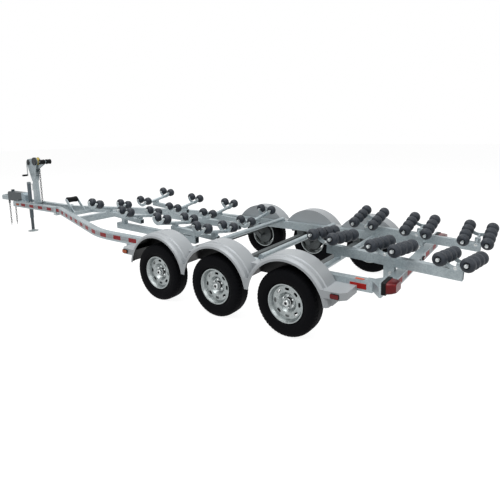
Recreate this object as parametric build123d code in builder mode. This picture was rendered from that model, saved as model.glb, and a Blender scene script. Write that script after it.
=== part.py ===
"""Three-axle roller boat trailer, one named solid or set of like solids per node.

All sizes are in mm. X points to the trailer's right, Y forward, Z up and the ground is Z = 0.
Stations are counted along Y from the middle axle, forward positive.
"""

import os
from math import atan2, cos, degrees, hypot, radians, sin, sqrt, tan

from build123d import *

os.makedirs("parts", exist_ok=True)

# Fits
SEAT = 0.3  # gap left where a curved or sloping piece sits on another
RUN = 0.5  # radial gap of a turning hub or sliding tube
SIDES = (-1, 1)  # left, right
STANDING = (Align.CENTER, Align.CENTER, Align.MIN)

# Tyres and rims
TYRE_R = 360.0
TYRE_W = 225.0
TREAD_W = 168.0
BULGE_R = 300.0
RIM_R = 208.0
RIM_W = 180.0
BARREL_R = 182.0
BARREL_DROP = 8.0
FLANGE_H = 12.0
FLANGE_RUN = 24.0
DISC_T = 10.0
DISC_OUT = 12.0  # mounting face, outboard of the tyre's middle
DISC_DISH = 34.0  # ring of hand holes, outboard of the mounting face
DISC_SLANT = 4.0
HUB_BORE_R = 42.0
HUB_PAD = 36.0
HAND_HOLES = 8
HAND_R = 144.0
HAND_BAND = 36.0
HAND_L = 52.0
HAND_W = 28.0

# Brake drums
DRUM_R = 152.0
DRUM_W = 66.0
DRUM_WALL = 10.0
DRUM_STEP = 12.0
DRUM_RIM = 40.0
DRUM_BEVEL = 8.0
HUB_WALL = 21.0
HUB_LIP = 18.0
CAP_R = 34.0
CAP_OUT = 78.0
CAP_BEVEL = 8.0
SPINDLE_R = 22.0
SPINDLE_END = 36.0

# Axles
TRACK = 2340.0
AXLE_PITCH = 945.0
AXLES = (AXLE_PITCH, 0.0, -AXLE_PITCH)  # stations, front to rear
BACK_PLATE_T = 6.0
BACK_PLATE_GAP = 5.0
BEAM = 76.0  # square
BEAM_UP = 90.0  # beam's centre above the spindle
BEAM_AHEAD = 120.0
HANGER_L = 114.0
ARM_T = 36.0
ARM_W = 72.0

# Frame
RAIL_H = 114.0
RAIL_W = 90.0
RAIL_UP = 305.0  # rail's top above the wheels' centres
RAIL_OUT = 1000.0  # outer face of the straight
TONGUE_OUT = 180.0  # outer face of the tongue
RAIL_REAR = -1770.0
RAIL_BEND = 2550.0
TONGUE_BEND = 5050.0
RAIL_BEND_R = 2000.0
TONGUE_BEND_R = 320.0
FRONT_CROSS = 3800.0
FRONT_CROSS_W = 76.0
MID_CROSS = 1900.0
MID_CROSS_S = 76.0
PIPE_R = 32.0
PIPES = (460.0, -440.0, -1220.0)  # stations
PIPE_FOOT_L = 80.0
PIPE_FOOT_W = 40.0
PIPE_FOOT_H = 26.0
CLAMP_AHEAD = 110.0  # of the tongue's bend
CLAMP_L = 80.0
CLAMP_T = 10.0
CLAMP_DROP = 44.0

# Rear cross tube, flared at both ends to carry the lamps
REAR_BACK = 180.0  # its rear face behind the rails' ends
REAR_CROSS_W = 100.0
REAR_CROSS_H = 90.0
FLARE = 130.0
LAMP_SEAT = 50.0  # lamp plate's rear face ahead of the tube's
LAMP_PLATE_T = 20.0
LAMP_PLATE_H = 150.0
CORNER_IN = 110.0
CORNER_LAP = 70.0
CORNER_T = 6.0

# Fenders
FENDER_GAP = 10.0  # to the rail
FENDER_W = 280.0
FENDER_T = 5.0
CROWN_R = 512.0
BAND_W = 85.0
BAND_DROP = 12.0
CREASE = 12.0
EDGE_BEVEL = 24.0
OUTER_SKIRT = 48.0
FENDER_CUT = 70.0  # lower edge above the wheels' centres
SADDLE_W = 128.0
BRIDGE_W = 192.0
BRIDGE_OUT = 110.0
BRIDGE_LAP = 40.0
STEP_UP = 245.0  # top of the end steps above the wheels' centres
STEP_H = 75.0
STEP_L = 240.0
STEP_UNDER = 120.0
STEP_CHAMFER = 55.0

# Lamps: X, Y, Z
TAIL_LAMP = (200.0, 130.0, 110.0)
LAMP_ROUND = 26.0
BAR_LENS = (62.0, 18.0, 34.0)
BAR_PITCH = 165.0
SIDE_LENS = (20.0, 84.0, 40.0)
LENS_BACK = 45.0  # ahead of the step's chamfer
TONGUE_LENS = (8.0, 100.0, 44.0)
TONGUE_LENS_BACK = 190.0

# Rollers
ROLLER_R = 68.0
ROLLER_W = 112.0
ROLLER_BEVEL = 16.0
SHAFT_R = 10.0

# Front cradle, heights above the rail's top
ARM_X = 490.0
ARM_TILT = 9.5
ARM_STATIONS = ((2934.0, 2198.0), (1415.0, 658.0))  # per walking tube: front arm, rear arm
TUBE_UP = ((151.0, 90.0), (60.0, 15.0))  # walking tube's centre under those arms
TUBE_S = 64.0
TUBE_WALL = 5.0
TUBE_OVER = 62.0  # past the arms
ARM_R = 25.0
ARM_LIFT = 80.0  # arm's centre above the tube's
PAIR_X = 270.0  # roller pair from the arm's middle
PAIR_Y = 100.0  # roller from the pair's middle
PAIR_LIFT = 72.0  # roller's centre above the arm's
ROCKER_W = 44.0
ROCKER_T = 8.0
ROCKER_GAP = 5.0
BLOCK_L = 70.0
CARRIER_W = 76.0
CARRIER_H = 95.0
CARRIER_WALL = 6.0
CARRIER = ((2720.0, -75.0), (990.0, -111.0))  # station and underside, front and rear

# Rear cradle
BUNK_X = 565.0
BUNK_W = 76.0
BUNK_H = 100.0
BUNK_WALL = 6.0
BUNK_FRONT = -1090.0
BUNK_REAR = -2500.0
BUNK_UP = 87.0  # underside at the front end above the rail's top
BUNK_SLOPE = 3.0
POST_L = 110.0
POST_WALL = 8.0
SADDLE_L = 84.0
CRADLES = (-1140.0, -1798.0, -2459.0)  # stations
# side, bank and swing in degrees as the cradles rest
CRADLE_REST = ((-1, 5.0, -7.0), (1, -12.5, 0.0))
ROW_Y = 125.0
ROW_LIFT = 70.0
PIVOT_LIFT = 36.0
PIVOT_R = 16.0
ROLLER_PITCH = 142.0
LINK_T = 10.0
LINK_W = 40.0
LUG_L = 60.0
LUG_W = 56.0
LUG_H = 58.0

# Bow guide
KEEL_AT = 4842.0
KEEL_UP = 162.0  # above the rail's top
KEEL_R = 60.0
KEEL_W = 210.0
GUIDE_BACK = 240.0  # bar behind the keel roller
GUIDE_BAR = 60.0
GUIDE_T = 10.0
GUIDE_W = 60.0
GUIDE_GAP = 6.0

# Brake actuator and coupler, lengths back from the nose and heights above the rail's top
NOSE = 7660.0
HEAD_L = 350.0
HEAD_W = 112.0
HEAD_UP = 77.0
HEAD_DOWN = 25.0
HEAD_CHAMFER = 18.0
BALL_R = 29.4
BALL_BACK = 85.0
BALL_UP = 25.0
LATCH_W = 46.0
LATCH_H = 40.0
LATCH_BACK = 40.0
LATCH_AHEAD = 115.0
LATCH_TOE = 16.0
BOX_L = 770.0
BOX_W = 130.0
BOX_UP = 180.0
BOX_OVER = 460.0  # past the tongue's end
BOX_REAR_BEVEL = (120.0, 45.0)  # along Y, along Z
BOX_NOSE_BEVEL = (40.0, 25.0)
BASE_T = 10.0
BASE_BACK = 10.0
FILLER_BACK = 110.0
FILLER_R = 34.0
FILLER_H = 40.0

# Jack
JACK_BACK = 75.0
JACK_R = 38.0
JACK_UP = 430.0
JACK_TRAVEL = 250.0
JACK_CLEAR = 38.0
JACK_FLOOR = 12.0
JACK_BRACKET_L = 88.0
JACK_BRACKET_H = 84.0
LEG_R = 30.0
LEG_SPARE = 53.0
FOOT_R = 100.0
FOOT_T = 12.0
WINDER_DROP = 52.0  # below the jack's top
WINDER_OUT = 30.0
WINDER_ARM = 130.0
WINDER_T = 12.0

# Winch stand
POST_BACK = 295.0  # behind the jack
POST_H = 575.0
POST_FOOT = (84.0, 125.0)  # X, Y
POST_HEAD = (70.0, 95.0)
POST_MARGIN = 30.0
HEAD_T = 8.0
HEAD_LAP = 110.0
HEAD_MARGIN = 72.0
SPOOL_BACK = 130.0
SPOOL_UP = 320.0
SPOOL_W = 70.0
STRAP_R = 62.0
FLANGE_R = 84.0
FLANGE_T = 5.0
GEAR_R = 78.0
GEAR_T = 22.0
CRANK_AHEAD = 140.0
CRANK_UP = 290.0
CRANK_L = 270.0
CRANK_T = 11.0
CRANK_GAP = 8.0
CRANK_SHAFT_R = 12.0
GRIP_R = 17.0
GRIP_L = 105.0
BOW_BACK = 452.0
BOW_UP = 317.0
BOW_R = 55.0
BOW_W = 96.0
BOW_GAP = 3.0
BOW_ARM_IN = 7.0  # inner face of the two arm plates that hold the bow rollers
BOW_ARM_T = 6.0
BOW_ARM_W = 62.0
BOW_ARM_UP = 110.0
BOW_BLOCK = 60.0
BOW_END = 12.0
BOW_CHAIN_BACK = 205.0
BOW_CHAIN_LOW = 15.0  # chain's bar below the arm's middle line
BOW_CHAIN_DROP = 690.0

# Safety chains: oblong links hung in tabs, every other one turned a quarter, with a hook below
CHAIN_X = 60.0
CHAIN_BACK = 40.0
CHAIN_DROP = 436.0
TAB_W = 40.0
TAB_DROP = 60.0
TAB_GAP = 16.0
TAB_WINDOW = 20.0
LINK_IN = 44.0
LINK_GAP = 18.0
WIRE = 10.0
HANG_BAR = 10.0
HOOK_R = 20.0
HOOK_TURN = 230.0

WHEEL_X = TRACK / 2
RAIL_X = RAIL_OUT - RAIL_W / 2
RAIL_IN = RAIL_OUT - RAIL_W
RAIL_TOP = TYRE_R + RAIL_UP
RAIL_LOW = RAIL_TOP - RAIL_H
TONGUE_X = TONGUE_OUT - RAIL_W / 2
BOX_FRONT = NOSE - HEAD_L
BOX_REAR = BOX_FRONT - BOX_L
TONGUE_END = BOX_FRONT - BOX_OVER
BASE_REAR = BOX_REAR - BASE_BACK
JACK_AT = BASE_REAR - JACK_BACK
POST_AT = JACK_AT - POST_BACK
REAR_FACE = RAIL_REAR - REAR_BACK
BUNK_FALL = tan(radians(BUNK_SLOPE))


def save(builder: BuildPart, name: str) -> None:
    """Label one node and write its STEP file."""
    builder.part.label = name
    export_step(builder.part, f"parts/{name}.step")


def bunk_low(station: float) -> float:
    """Height of the bunk tube's underside at a station."""
    return RAIL_TOP + BUNK_UP + (station - BUNK_FRONT) * BUNK_FALL


def carrier_low(station: float) -> float:
    """Height of the carrier beam's underside at a station."""
    (y1, z1), (y0, z0) = CARRIER
    return RAIL_TOP + z0 + (station - y0) * (z1 - z0) / (y1 - y0)


# Templates, built about their own pivots and placed below

with BuildPart() as roller:
    with BuildSketch(Plane.XZ):
        with BuildLine():
            Polyline(
                (-ROLLER_W / 2, SHAFT_R + SEAT),
                (-ROLLER_W / 2, ROLLER_R - ROLLER_BEVEL),
                (-ROLLER_W / 2 + ROLLER_BEVEL, ROLLER_R),
                (ROLLER_W / 2 - ROLLER_BEVEL, ROLLER_R),
                (ROLLER_W / 2, ROLLER_R - ROLLER_BEVEL),
                (ROLLER_W / 2, SHAFT_R + SEAT),
                close=True,
            )
        make_face()
    revolve(axis=Axis.X)

ROW_SPOTS = [(k * ROLLER_PITCH / 2, s * ROW_Y, ROW_LIFT) for s in SIDES for k in (-3, -1, 1, 3)]
with BuildPart() as cradle_rollers:
    with Locations(*ROW_SPOTS):
        add(roller.part)

LINK_ARC = ThreePointArc((-ROW_Y, ROW_LIFT), (0, 0), (ROW_Y, ROW_LIFT))
ROW_LEN = 4 * ROLLER_PITCH + 2 * LINK_T
with BuildPart() as cradle_frame:
    for x in (-ROLLER_PITCH, ROLLER_PITCH):
        with BuildSketch(Plane.YZ.offset(x - LINK_T / 2)):
            SlotArc(LINK_ARC, LINK_W)
        extrude(amount=LINK_T)
    Cylinder(PIVOT_R, 2 * ROLLER_PITCH, rotation=(0, 90, 0))
    with Locations((0, -ROW_Y, ROW_LIFT), (0, ROW_Y, ROW_LIFT)):
        Cylinder(SHAFT_R, ROW_LEN, rotation=(0, 90, 0))

PAIR_SPOTS = [(p * PAIR_X, s * PAIR_Y, PAIR_LIFT) for p in SIDES for s in SIDES]
with BuildPart() as arm_rollers:
    with Locations(*PAIR_SPOTS):
        add(roller.part)

ROCKER_ARC = ThreePointArc((-PAIR_Y, PAIR_LIFT), (0, 0), (PAIR_Y, PAIR_LIFT))
ROCKER_X = ROLLER_W / 2 + ROCKER_GAP
with BuildPart() as roller_arm:
    for x in (-PAIR_X, PAIR_X):
        for inner in (x - ROCKER_X - ROCKER_T, x + ROCKER_X):
            with BuildSketch(Plane.YZ.offset(inner)):
                SlotArc(ROCKER_ARC, ROCKER_W)
            extrude(amount=ROCKER_T)
    Cylinder(ARM_R, 2 * (PAIR_X + ROCKER_X + ROCKER_T), rotation=(0, 90, 0))
    with Locations(*PAIR_SPOTS):
        Cylinder(SHAFT_R, 2 * (ROCKER_X + ROCKER_T), rotation=(0, 90, 0))

with BuildPart() as tyre:
    with BuildSketch(Plane.XZ):
        with BuildLine():
            Polyline(
                (RIM_R + SEAT, -RIM_W / 2),
                (BULGE_R, -TYRE_W / 2),
                (TYRE_R, -TREAD_W / 2),
                (TYRE_R, TREAD_W / 2),
                (BULGE_R, TYRE_W / 2),
                (RIM_R + SEAT, RIM_W / 2),
                close=True,
            )
        make_face()
    revolve(axis=Axis.Z)

DISC_IN = DISC_OUT - DISC_T
DISC_RING = DISC_OUT + DISC_DISH
with BuildPart() as rim:
    with BuildSketch(Plane.XZ):
        with BuildLine():
            Polyline(
                (RIM_R, -RIM_W / 2),
                (RIM_R, RIM_W / 2),
                (RIM_R - FLANGE_H, RIM_W / 2),
                (BARREL_R, RIM_W / 2 - FLANGE_RUN),
                (BARREL_R - BARREL_DROP, DISC_RING),
                (HAND_R - HAND_BAND, DISC_RING),
                (HUB_BORE_R + HUB_PAD, DISC_OUT),
                (HUB_BORE_R, DISC_OUT),
                (HUB_BORE_R, DISC_IN),
                (HUB_BORE_R + HUB_PAD + DISC_SLANT, DISC_IN),
                (HAND_R - HAND_BAND + DISC_SLANT, DISC_RING - DISC_T),
                (BARREL_R - BARREL_DROP, DISC_RING - DISC_T),
                (BARREL_R, -RIM_W / 2 + FLANGE_RUN),
                (RIM_R - FLANGE_H, -RIM_W / 2),
                close=True,
            )
        make_face()
    revolve(axis=Axis.Z)
    with BuildSketch(Plane.XY):
        with PolarLocations(HAND_R, HAND_HOLES):
            SlotOverall(HAND_L, HAND_W, rotation=90)
    extrude(amount=RIM_W, both=True, mode=Mode.SUBTRACT)

DRUM_SEAT = DISC_IN - SEAT
DRUM_IN = DRUM_SEAT - DRUM_W
DRUM_FACE = DRUM_SEAT - DRUM_STEP
HUB_R = SPINDLE_R + RUN + HUB_WALL
with BuildPart() as drum:
    with BuildSketch(Plane.XZ):
        with BuildLine():
            Polyline(
                (SPINDLE_R + RUN, DRUM_IN),
                (HUB_R, DRUM_IN),
                (HUB_R, DRUM_FACE - DRUM_WALL),
                (DRUM_R - DRUM_WALL, DRUM_FACE - DRUM_WALL),
                (DRUM_R - DRUM_WALL, DRUM_IN),
                (DRUM_R, DRUM_IN),
                (DRUM_R, DRUM_FACE),
                (DRUM_R - DRUM_RIM, DRUM_FACE),
                (DRUM_R - DRUM_RIM - DRUM_BEVEL, DRUM_SEAT),
                (HUB_BORE_R - SEAT, DRUM_SEAT),
                (HUB_BORE_R - SEAT, DISC_OUT + HUB_LIP),
                (CAP_R, DISC_OUT + HUB_LIP),
                (CAP_R, CAP_OUT - CAP_BEVEL),
                (CAP_R - CAP_BEVEL, CAP_OUT),
                (0, CAP_OUT),
                (0, SPINDLE_END + RUN),
                (SPINDLE_R + RUN, SPINDLE_END + RUN),
                close=True,
            )
        make_face()
    revolve(axis=Axis.Z)

# The bounding box is centred on the origin, so the middle axle's place follows from both ends
REAR_POSES = [Location((0, 0, 0), (BUNK_SLOPE, bank, swing)) for _, bank, swing in CRADLE_REST]
REAR_REACH = CRADLES[-1] + min(
    cradle_rollers.part.moved(pose).bounding_box().min.Y for pose in REAR_POSES
)
PIVOT_ABOVE = (BUNK_H + PIVOT_LIFT) * sin(radians(BUNK_SLOPE))
AXLE_Y = -(NOSE + REAR_REACH - PIVOT_ABOVE) / 2


def at(station: float) -> float:
    """Y of a station."""
    return AXLE_Y + station


# Wheels, front to rear on each side

WHEEL_SPOTS = [(side, k, station) for side in SIDES for k, station in enumerate(AXLES, 1)]
for side, k, station in WHEEL_SPOTS:
    tag = f"{'l' if side < 0 else 'r'}{k}"
    spot = Plane((side * WHEEL_X, at(station), TYRE_R), x_dir=(0, 1, 0), z_dir=(side, 0, 0))
    for name, template in (("tyre", tyre), ("rim", rim), ("drum", drum)):
        with BuildPart() as piece:
            with Locations(spot.location):
                add(template.part)
        save(piece, f"{name}_{tag}")

# Axles: beam and arms hang under the rails, spindles run into the hubs

BACK_X = WHEEL_X + DRUM_IN - BACK_PLATE_GAP - BACK_PLATE_T
BEAM_Z = TYRE_R + BEAM_UP
HANGER_H = RAIL_LOW - BEAM_Z - BEAM / 2
for k, station in enumerate(AXLES, 1):
    y = at(station)
    with BuildPart() as axle:
        with Locations((0, y + BEAM_AHEAD, BEAM_Z)):
            Box(2 * RAIL_X, BEAM, BEAM)
        with Locations(*[(s * RAIL_X, y + BEAM_AHEAD, RAIL_LOW - HANGER_H / 2) for s in SIDES]):
            Box(RAIL_W, HANGER_L, HANGER_H)
        for side in SIDES:
            with BuildSketch(Plane.YZ.offset(side * RAIL_X)):
                with Locations((y + BEAM_AHEAD / 2, TYRE_R + BEAM_UP / 2)):
                    SlotCenterToCenter(
                        hypot(BEAM_AHEAD, BEAM_UP),
                        ARM_W,
                        rotation=degrees(atan2(BEAM_UP, BEAM_AHEAD)),
                    )
            extrude(amount=side * ARM_T)
            with BuildSketch(Plane.YZ.offset(side * RAIL_X)):
                with Locations((y, TYRE_R)):
                    Circle(SPINDLE_R)
            extrude(amount=side * (WHEEL_X + SPINDLE_END - RAIL_X))
            with BuildSketch(Plane.YZ.offset(side * BACK_X)):
                with Locations((y, TYRE_R)):
                    Circle(DRUM_R - DRUM_WALL)
            extrude(amount=side * BACK_PLATE_T)
    save(axle, f"axle_{k}")

# Rails: tongue, wishbone and straight in one bent tube per side

for side, name in ((-1, "rail_left"), (1, "rail_right")):
    with BuildPart() as rail:
        with BuildSketch(Plane.XY.offset(RAIL_LOW)):
            with BuildLine() as run:
                Polyline(
                    (side * RAIL_X, at(RAIL_REAR)),
                    (side * RAIL_X, at(RAIL_BEND)),
                    (side * TONGUE_X, at(TONGUE_BEND)),
                    (side * TONGUE_X, at(TONGUE_END)),
                )
                bends = run.vertices().sort_by(Axis.Y)
                fillet(bends[1], RAIL_BEND_R)
                fillet(run.vertices().sort_by(Axis.Y)[-2], TONGUE_BEND_R)
            trace(line_width=RAIL_W)
        extrude(amount=RAIL_H)
    save(rail, name)

with BuildPart() as clamps:
    with Locations(*[(s * TONGUE_X, at(TONGUE_BEND + CLAMP_AHEAD), RAIL_LOW) for s in SIDES]):
        with Locations((0, 0, -CLAMP_DROP)):
            Box(RAIL_W + 2 * CLAMP_T, CLAMP_L, CLAMP_DROP + RAIL_H + CLAMP_T, align=STANDING)
        Box(RAIL_W, 2 * CLAMP_L, RAIL_H, align=STANDING, mode=Mode.SUBTRACT)
save(clamps, "tongue_clamps")

# Cross tubes between the rails

WISH = (RAIL_X - TONGUE_X) / (TONGUE_BEND - RAIL_BEND)  # inward run of the diagonal per mm
WISH_W = RAIL_W / 2 * sqrt(1 + WISH**2)


def wish_in(station: float) -> float:
    """X of the diagonal's inner face at a station."""
    return RAIL_X - (station - RAIL_BEND) * WISH - WISH_W


def wish_plan(station: float, width: float) -> list[tuple[float, float]]:
    """Plan of a tube between the two diagonals, its ends cut along them."""
    near = station - width / 2
    far = station + width / 2
    return [
        (-wish_in(near), at(near)),
        (wish_in(near), at(near)),
        (wish_in(far), at(far)),
        (-wish_in(far), at(far)),
    ]


with BuildPart() as front_cross:
    with BuildSketch(Plane.XY.offset(RAIL_LOW)):
        with BuildLine():
            Polyline(*wish_plan(FRONT_CROSS, FRONT_CROSS_W), close=True)
        make_face()
    extrude(amount=RAIL_H)
save(front_cross, "front_cross_tube")

with BuildPart() as mid_cross:
    with Locations((0, at(MID_CROSS), RAIL_LOW - MID_CROSS_S / 2)):
        Box(2 * RAIL_X, MID_CROSS_S, MID_CROSS_S)
save(mid_cross, "middle_cross_tube")

PIPE_Z = RAIL_TOP + PIPE_R
FOOT_X = RAIL_IN + PIPE_FOOT_W / 2
with BuildPart() as pipes:
    for station in PIPES:
        with Locations((0, at(station), PIPE_Z)):
            Cylinder(PIPE_R, 2 * (FOOT_X + PIPE_FOOT_W / 2), rotation=(0, 90, 0))
        with Locations(*[(s * FOOT_X, at(station), RAIL_TOP) for s in SIDES]):
            Box(PIPE_FOOT_W, PIPE_FOOT_L, PIPE_FOOT_H, align=STANDING)
save(pipes, "cross_pipes")

REAR_LOW = RAIL_TOP - REAR_CROSS_H
REAR_FRONT = REAR_FACE + REAR_CROSS_W
LAMP_OUT = RAIL_OUT + FLARE
LAMP_IN = LAMP_OUT - TAIL_LAMP[0]
LAMP_X = LAMP_OUT - TAIL_LAMP[0] / 2
LAMP_BACK = REAR_FACE + LAMP_SEAT
with BuildPart() as rear_cross:
    with Locations((0, at(REAR_FACE + REAR_CROSS_W / 2), REAR_LOW)):
        Box(2 * RAIL_IN, REAR_CROSS_W, REAR_CROSS_H, align=STANDING)
    for side in SIDES:
        with BuildSketch(Plane.XY.offset(REAR_LOW)):
            with BuildLine():
                Polyline(
                    (side * RAIL_IN, at(RAIL_REAR)),
                    (side * RAIL_OUT, at(RAIL_REAR)),
                    (side * LAMP_OUT, at(LAMP_BACK + LAMP_PLATE_T)),
                    (side * LAMP_OUT, at(LAMP_BACK)),
                    (side * LAMP_IN, at(LAMP_BACK)),
                    (side * LAMP_IN, at(REAR_FACE)),
                    (side * (RAIL_IN - CORNER_IN), at(REAR_FACE)),
                    (side * (RAIL_IN - CORNER_IN), at(REAR_FRONT)),
                    close=True,
                )
            make_face()
        extrude(amount=REAR_CROSS_H + CORNER_T)
        with Locations((side * RAIL_X, at(RAIL_REAR + CORNER_LAP / 2), RAIL_TOP)):
            Box(RAIL_W, CORNER_LAP, CORNER_T, align=STANDING)
        with Locations((side * LAMP_X, at(LAMP_BACK + LAMP_PLATE_T / 2), REAR_LOW)):
            Box(TAIL_LAMP[0], LAMP_PLATE_T, LAMP_PLATE_H, align=STANDING)
save(rear_cross, "rear_cross_tube")

# Fenders: one section is turned about each wheel, cut halfway between wheels, then joined

FENDER_IN = RAIL_OUT + FENDER_GAP
FENDER_OUT = FENDER_IN + FENDER_W
BAND_IN = FENDER_OUT - BAND_W
EDGE_R = CROWN_R - BAND_DROP
LIP_R = EDGE_R - OUTER_SKIRT
HALF = AXLE_PITCH / 2
FAR = 2 * CROWN_R
# station, reach to the rear, reach to the front
HUMPS = ((AXLES[0], HALF, FAR), (AXLES[1], HALF, HALF), (AXLES[2], FAR, HALF))
with BuildPart() as arch:
    with BuildSketch(Plane.XZ):
        with BuildLine():
            Polyline(
                (FENDER_IN, CROWN_R),
                (BAND_IN, CROWN_R),
                (BAND_IN + CREASE, EDGE_R),
                (FENDER_OUT - EDGE_BEVEL, EDGE_R),
                (FENDER_OUT, EDGE_R - EDGE_BEVEL),
                (FENDER_OUT, LIP_R),
            )
            offset(amount=FENDER_T, side=Side.RIGHT, kind=Kind.INTERSECTION)
        make_face()
    revolve(axis=Axis.X)
    # inner panel, from the crown down to the rail's lower edge
    with BuildSketch(Plane.YZ.offset(FENDER_IN)):
        Circle(CROWN_R)
        with Locations((0, RAIL_LOW - TYRE_R)):
            Rectangle(FAR, FAR, align=(Align.CENTER, Align.MAX), mode=Mode.SUBTRACT)
    extrude(amount=FENDER_T)
humps = []
for station, back, ahead in HUMPS:
    with BuildPart() as hump:
        add(arch.part)
        with Locations((FENDER_IN + FENDER_W / 2, (ahead - back) / 2, FENDER_CUT)):
            Box(2 * FENDER_W, ahead + back, FAR, align=STANDING, mode=Mode.INTERSECT)
    humps.append(hump.part.moved(Location((0, at(station), TYRE_R))))


def step_plan(hub: float, end: int, wall: float) -> list[tuple[float, float]]:
    """Plan of the step at one end of a fender, drawn in by a wall."""
    under = hub + end * (STEP_START - STEP_UNDER)
    corner = hub + end * (STEP_START + STEP_L - STEP_CHAMFER)
    tip = hub + end * (STEP_START + STEP_L - wall)
    return [
        (RAIL_OUT + wall, under),
        (FENDER_OUT - wall, under),
        (FENDER_OUT - wall, corner),
        (FENDER_OUT - STEP_CHAMFER, tip),
        (RAIL_OUT + wall, tip),
    ]


FENDER_LOW = TYRE_R + FENDER_CUT
BRIDGE_LOW = TYRE_R + sqrt(CROWN_R**2 - HALF**2)
STEP_START = sqrt((EDGE_R - FENDER_T) ** 2 - STEP_UP**2)
STEP_LOW = TYRE_R + STEP_UP - STEP_H
BRIDGE_X = RAIL_OUT + BRIDGE_OUT
steps = []
for end in SIDES:
    hub = at(end * AXLE_PITCH)
    with BuildPart() as step:
        for wall, mode in ((0, Mode.ADD), (FENDER_T, Mode.SUBTRACT)):
            with BuildSketch(Plane.XY.offset(STEP_LOW)):
                with BuildLine():
                    Polyline(*step_plan(hub, end, wall), close=True)
                make_face()
            extrude(amount=STEP_H - wall, mode=mode)
        # the step stops where the skirt's lip leaves room for the wheel
        with BuildSketch(Plane.YZ.offset(RAIL_OUT)):
            with Locations((hub, TYRE_R)):
                Circle(LIP_R)
        extrude(amount=FENDER_OUT - RAIL_OUT, mode=Mode.SUBTRACT)
    steps.append(step.part)
with BuildPart() as fender_right:
    for piece in [*humps, *steps]:
        add(piece)
    for valley in (HALF, -HALF):
        hubs = [(at(valley + s * HALF), TYRE_R) for s in SIDES]
        # the foot that closes the outer skirt between two humps
        with BuildSketch(Plane.YZ.offset(FENDER_OUT - FENDER_T)):
            with Locations((at(valley), (FENDER_LOW + BRIDGE_LOW) / 2)):
                Rectangle(SADDLE_W, BRIDGE_LOW - FENDER_LOW)
            with Locations(*hubs):
                Circle(LIP_R, mode=Mode.SUBTRACT)
        extrude(amount=FENDER_T)
        # the web below the bridge's outer edge, then the bridge that lies on the rail
        with BuildSketch(Plane.YZ.offset(BRIDGE_X - FENDER_T)):
            with Locations((at(valley), (BRIDGE_LOW + RAIL_TOP) / 2)):
                Rectangle(BRIDGE_W, RAIL_TOP - BRIDGE_LOW + 2 * FENDER_T)
            with Locations(*hubs):
                Circle(CROWN_R - FENDER_T / 2, mode=Mode.SUBTRACT)
        extrude(amount=FENDER_T)
        with BuildSketch(Plane.YZ.offset(RAIL_OUT - BRIDGE_LAP)):
            with Locations((at(valley), RAIL_TOP + FENDER_T / 2)):
                Rectangle(BRIDGE_W, FENDER_T)
            with Locations(*hubs):
                Circle(CROWN_R - FENDER_T / 2, mode=Mode.SUBTRACT)
        extrude(amount=BRIDGE_OUT + BRIDGE_LAP)
save(fender_right, "fender_right")
with BuildPart() as fender_left:
    mirror(fender_right.part, about=Plane.YZ)
save(fender_left, "fender_left")

# Lamps and reflectors

LAMP_Y = at(LAMP_BACK) - TAIL_LAMP[1] / 2
BAR_Z = RAIL_TOP - REAR_CROSS_H / 2
with BuildPart() as tail_lamps:
    with Locations(*[(s * LAMP_X, LAMP_Y, RAIL_TOP) for s in SIDES]):
        Box(*TAIL_LAMP)
    fillet(tail_lamps.edges().filter_by(Axis.Z).group_by(Axis.Y)[0], LAMP_ROUND)
save(tail_lamps, "tail_lamps")

LENS_X = FENDER_OUT + SIDE_LENS[0] / 2
LENS_Y = AXLE_PITCH + STEP_START + STEP_L - STEP_CHAMFER - LENS_BACK
LENS_Z = STEP_LOW + STEP_H / 2
RAIL_MID = (RAIL_TOP + RAIL_LOW) / 2
with BuildPart() as amber:
    with Locations(*[(s * LENS_X, at(LENS_Y), LENS_Z) for s in SIDES]):
        Box(*SIDE_LENS)
    lens_x = TONGUE_OUT + TONGUE_LENS[0] / 2
    with Locations(*[(s * lens_x, at(TONGUE_END - TONGUE_LENS_BACK), RAIL_MID) for s in SIDES]):
        Box(*TONGUE_LENS)
save(amber, "amber_side_lamps")

with BuildPart() as red:
    with Locations(*[(s * LENS_X, at(-LENS_Y), LENS_Z) for s in SIDES]):
        Box(*SIDE_LENS)
    with Locations(*[(k * BAR_PITCH, at(REAR_FACE) - BAR_LENS[1] / 2, BAR_Z) for k in (-1, 0, 1)]):
        Box(*BAR_LENS)
save(red, "red_lenses")

# Front cradle: carrier beams, walking tubes, arms and rollers

(CAR_Y1, CAR_Z1), (CAR_Y0, CAR_Z0) = CARRIER
CAR_PITCH = degrees(atan2(CAR_Z1 - CAR_Z0, CAR_Y1 - CAR_Y0))
CAR_LEN = hypot(CAR_Y1 - CAR_Y0, CAR_Z1 - CAR_Z0)
CAR_UP = CARRIER_H / cos(radians(CAR_PITCH))
CAR_MID = (CAR_Y1 + CAR_Y0) / 2


def lying(x: float, station: float, z: float, pitch: float) -> Location:
    """Place of a tube whose own length runs along Y, nose up by a pitch."""
    return Location((x, at(station), z), (pitch, 0, 0))


with BuildPart() as carriers:
    middle = carrier_low(CAR_MID) + CAR_UP / 2
    with Locations(*[lying(s * ARM_X, CAR_MID, middle, CAR_PITCH) for s in SIDES]):
        Box(CARRIER_W, CAR_LEN, CARRIER_H)
        Box(
            CARRIER_W - 2 * CARRIER_WALL,
            2 * CAR_LEN,
            CARRIER_H - 2 * CARRIER_WALL,
            mode=Mode.SUBTRACT,
        )
save(carriers, "carrier_beams")

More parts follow.
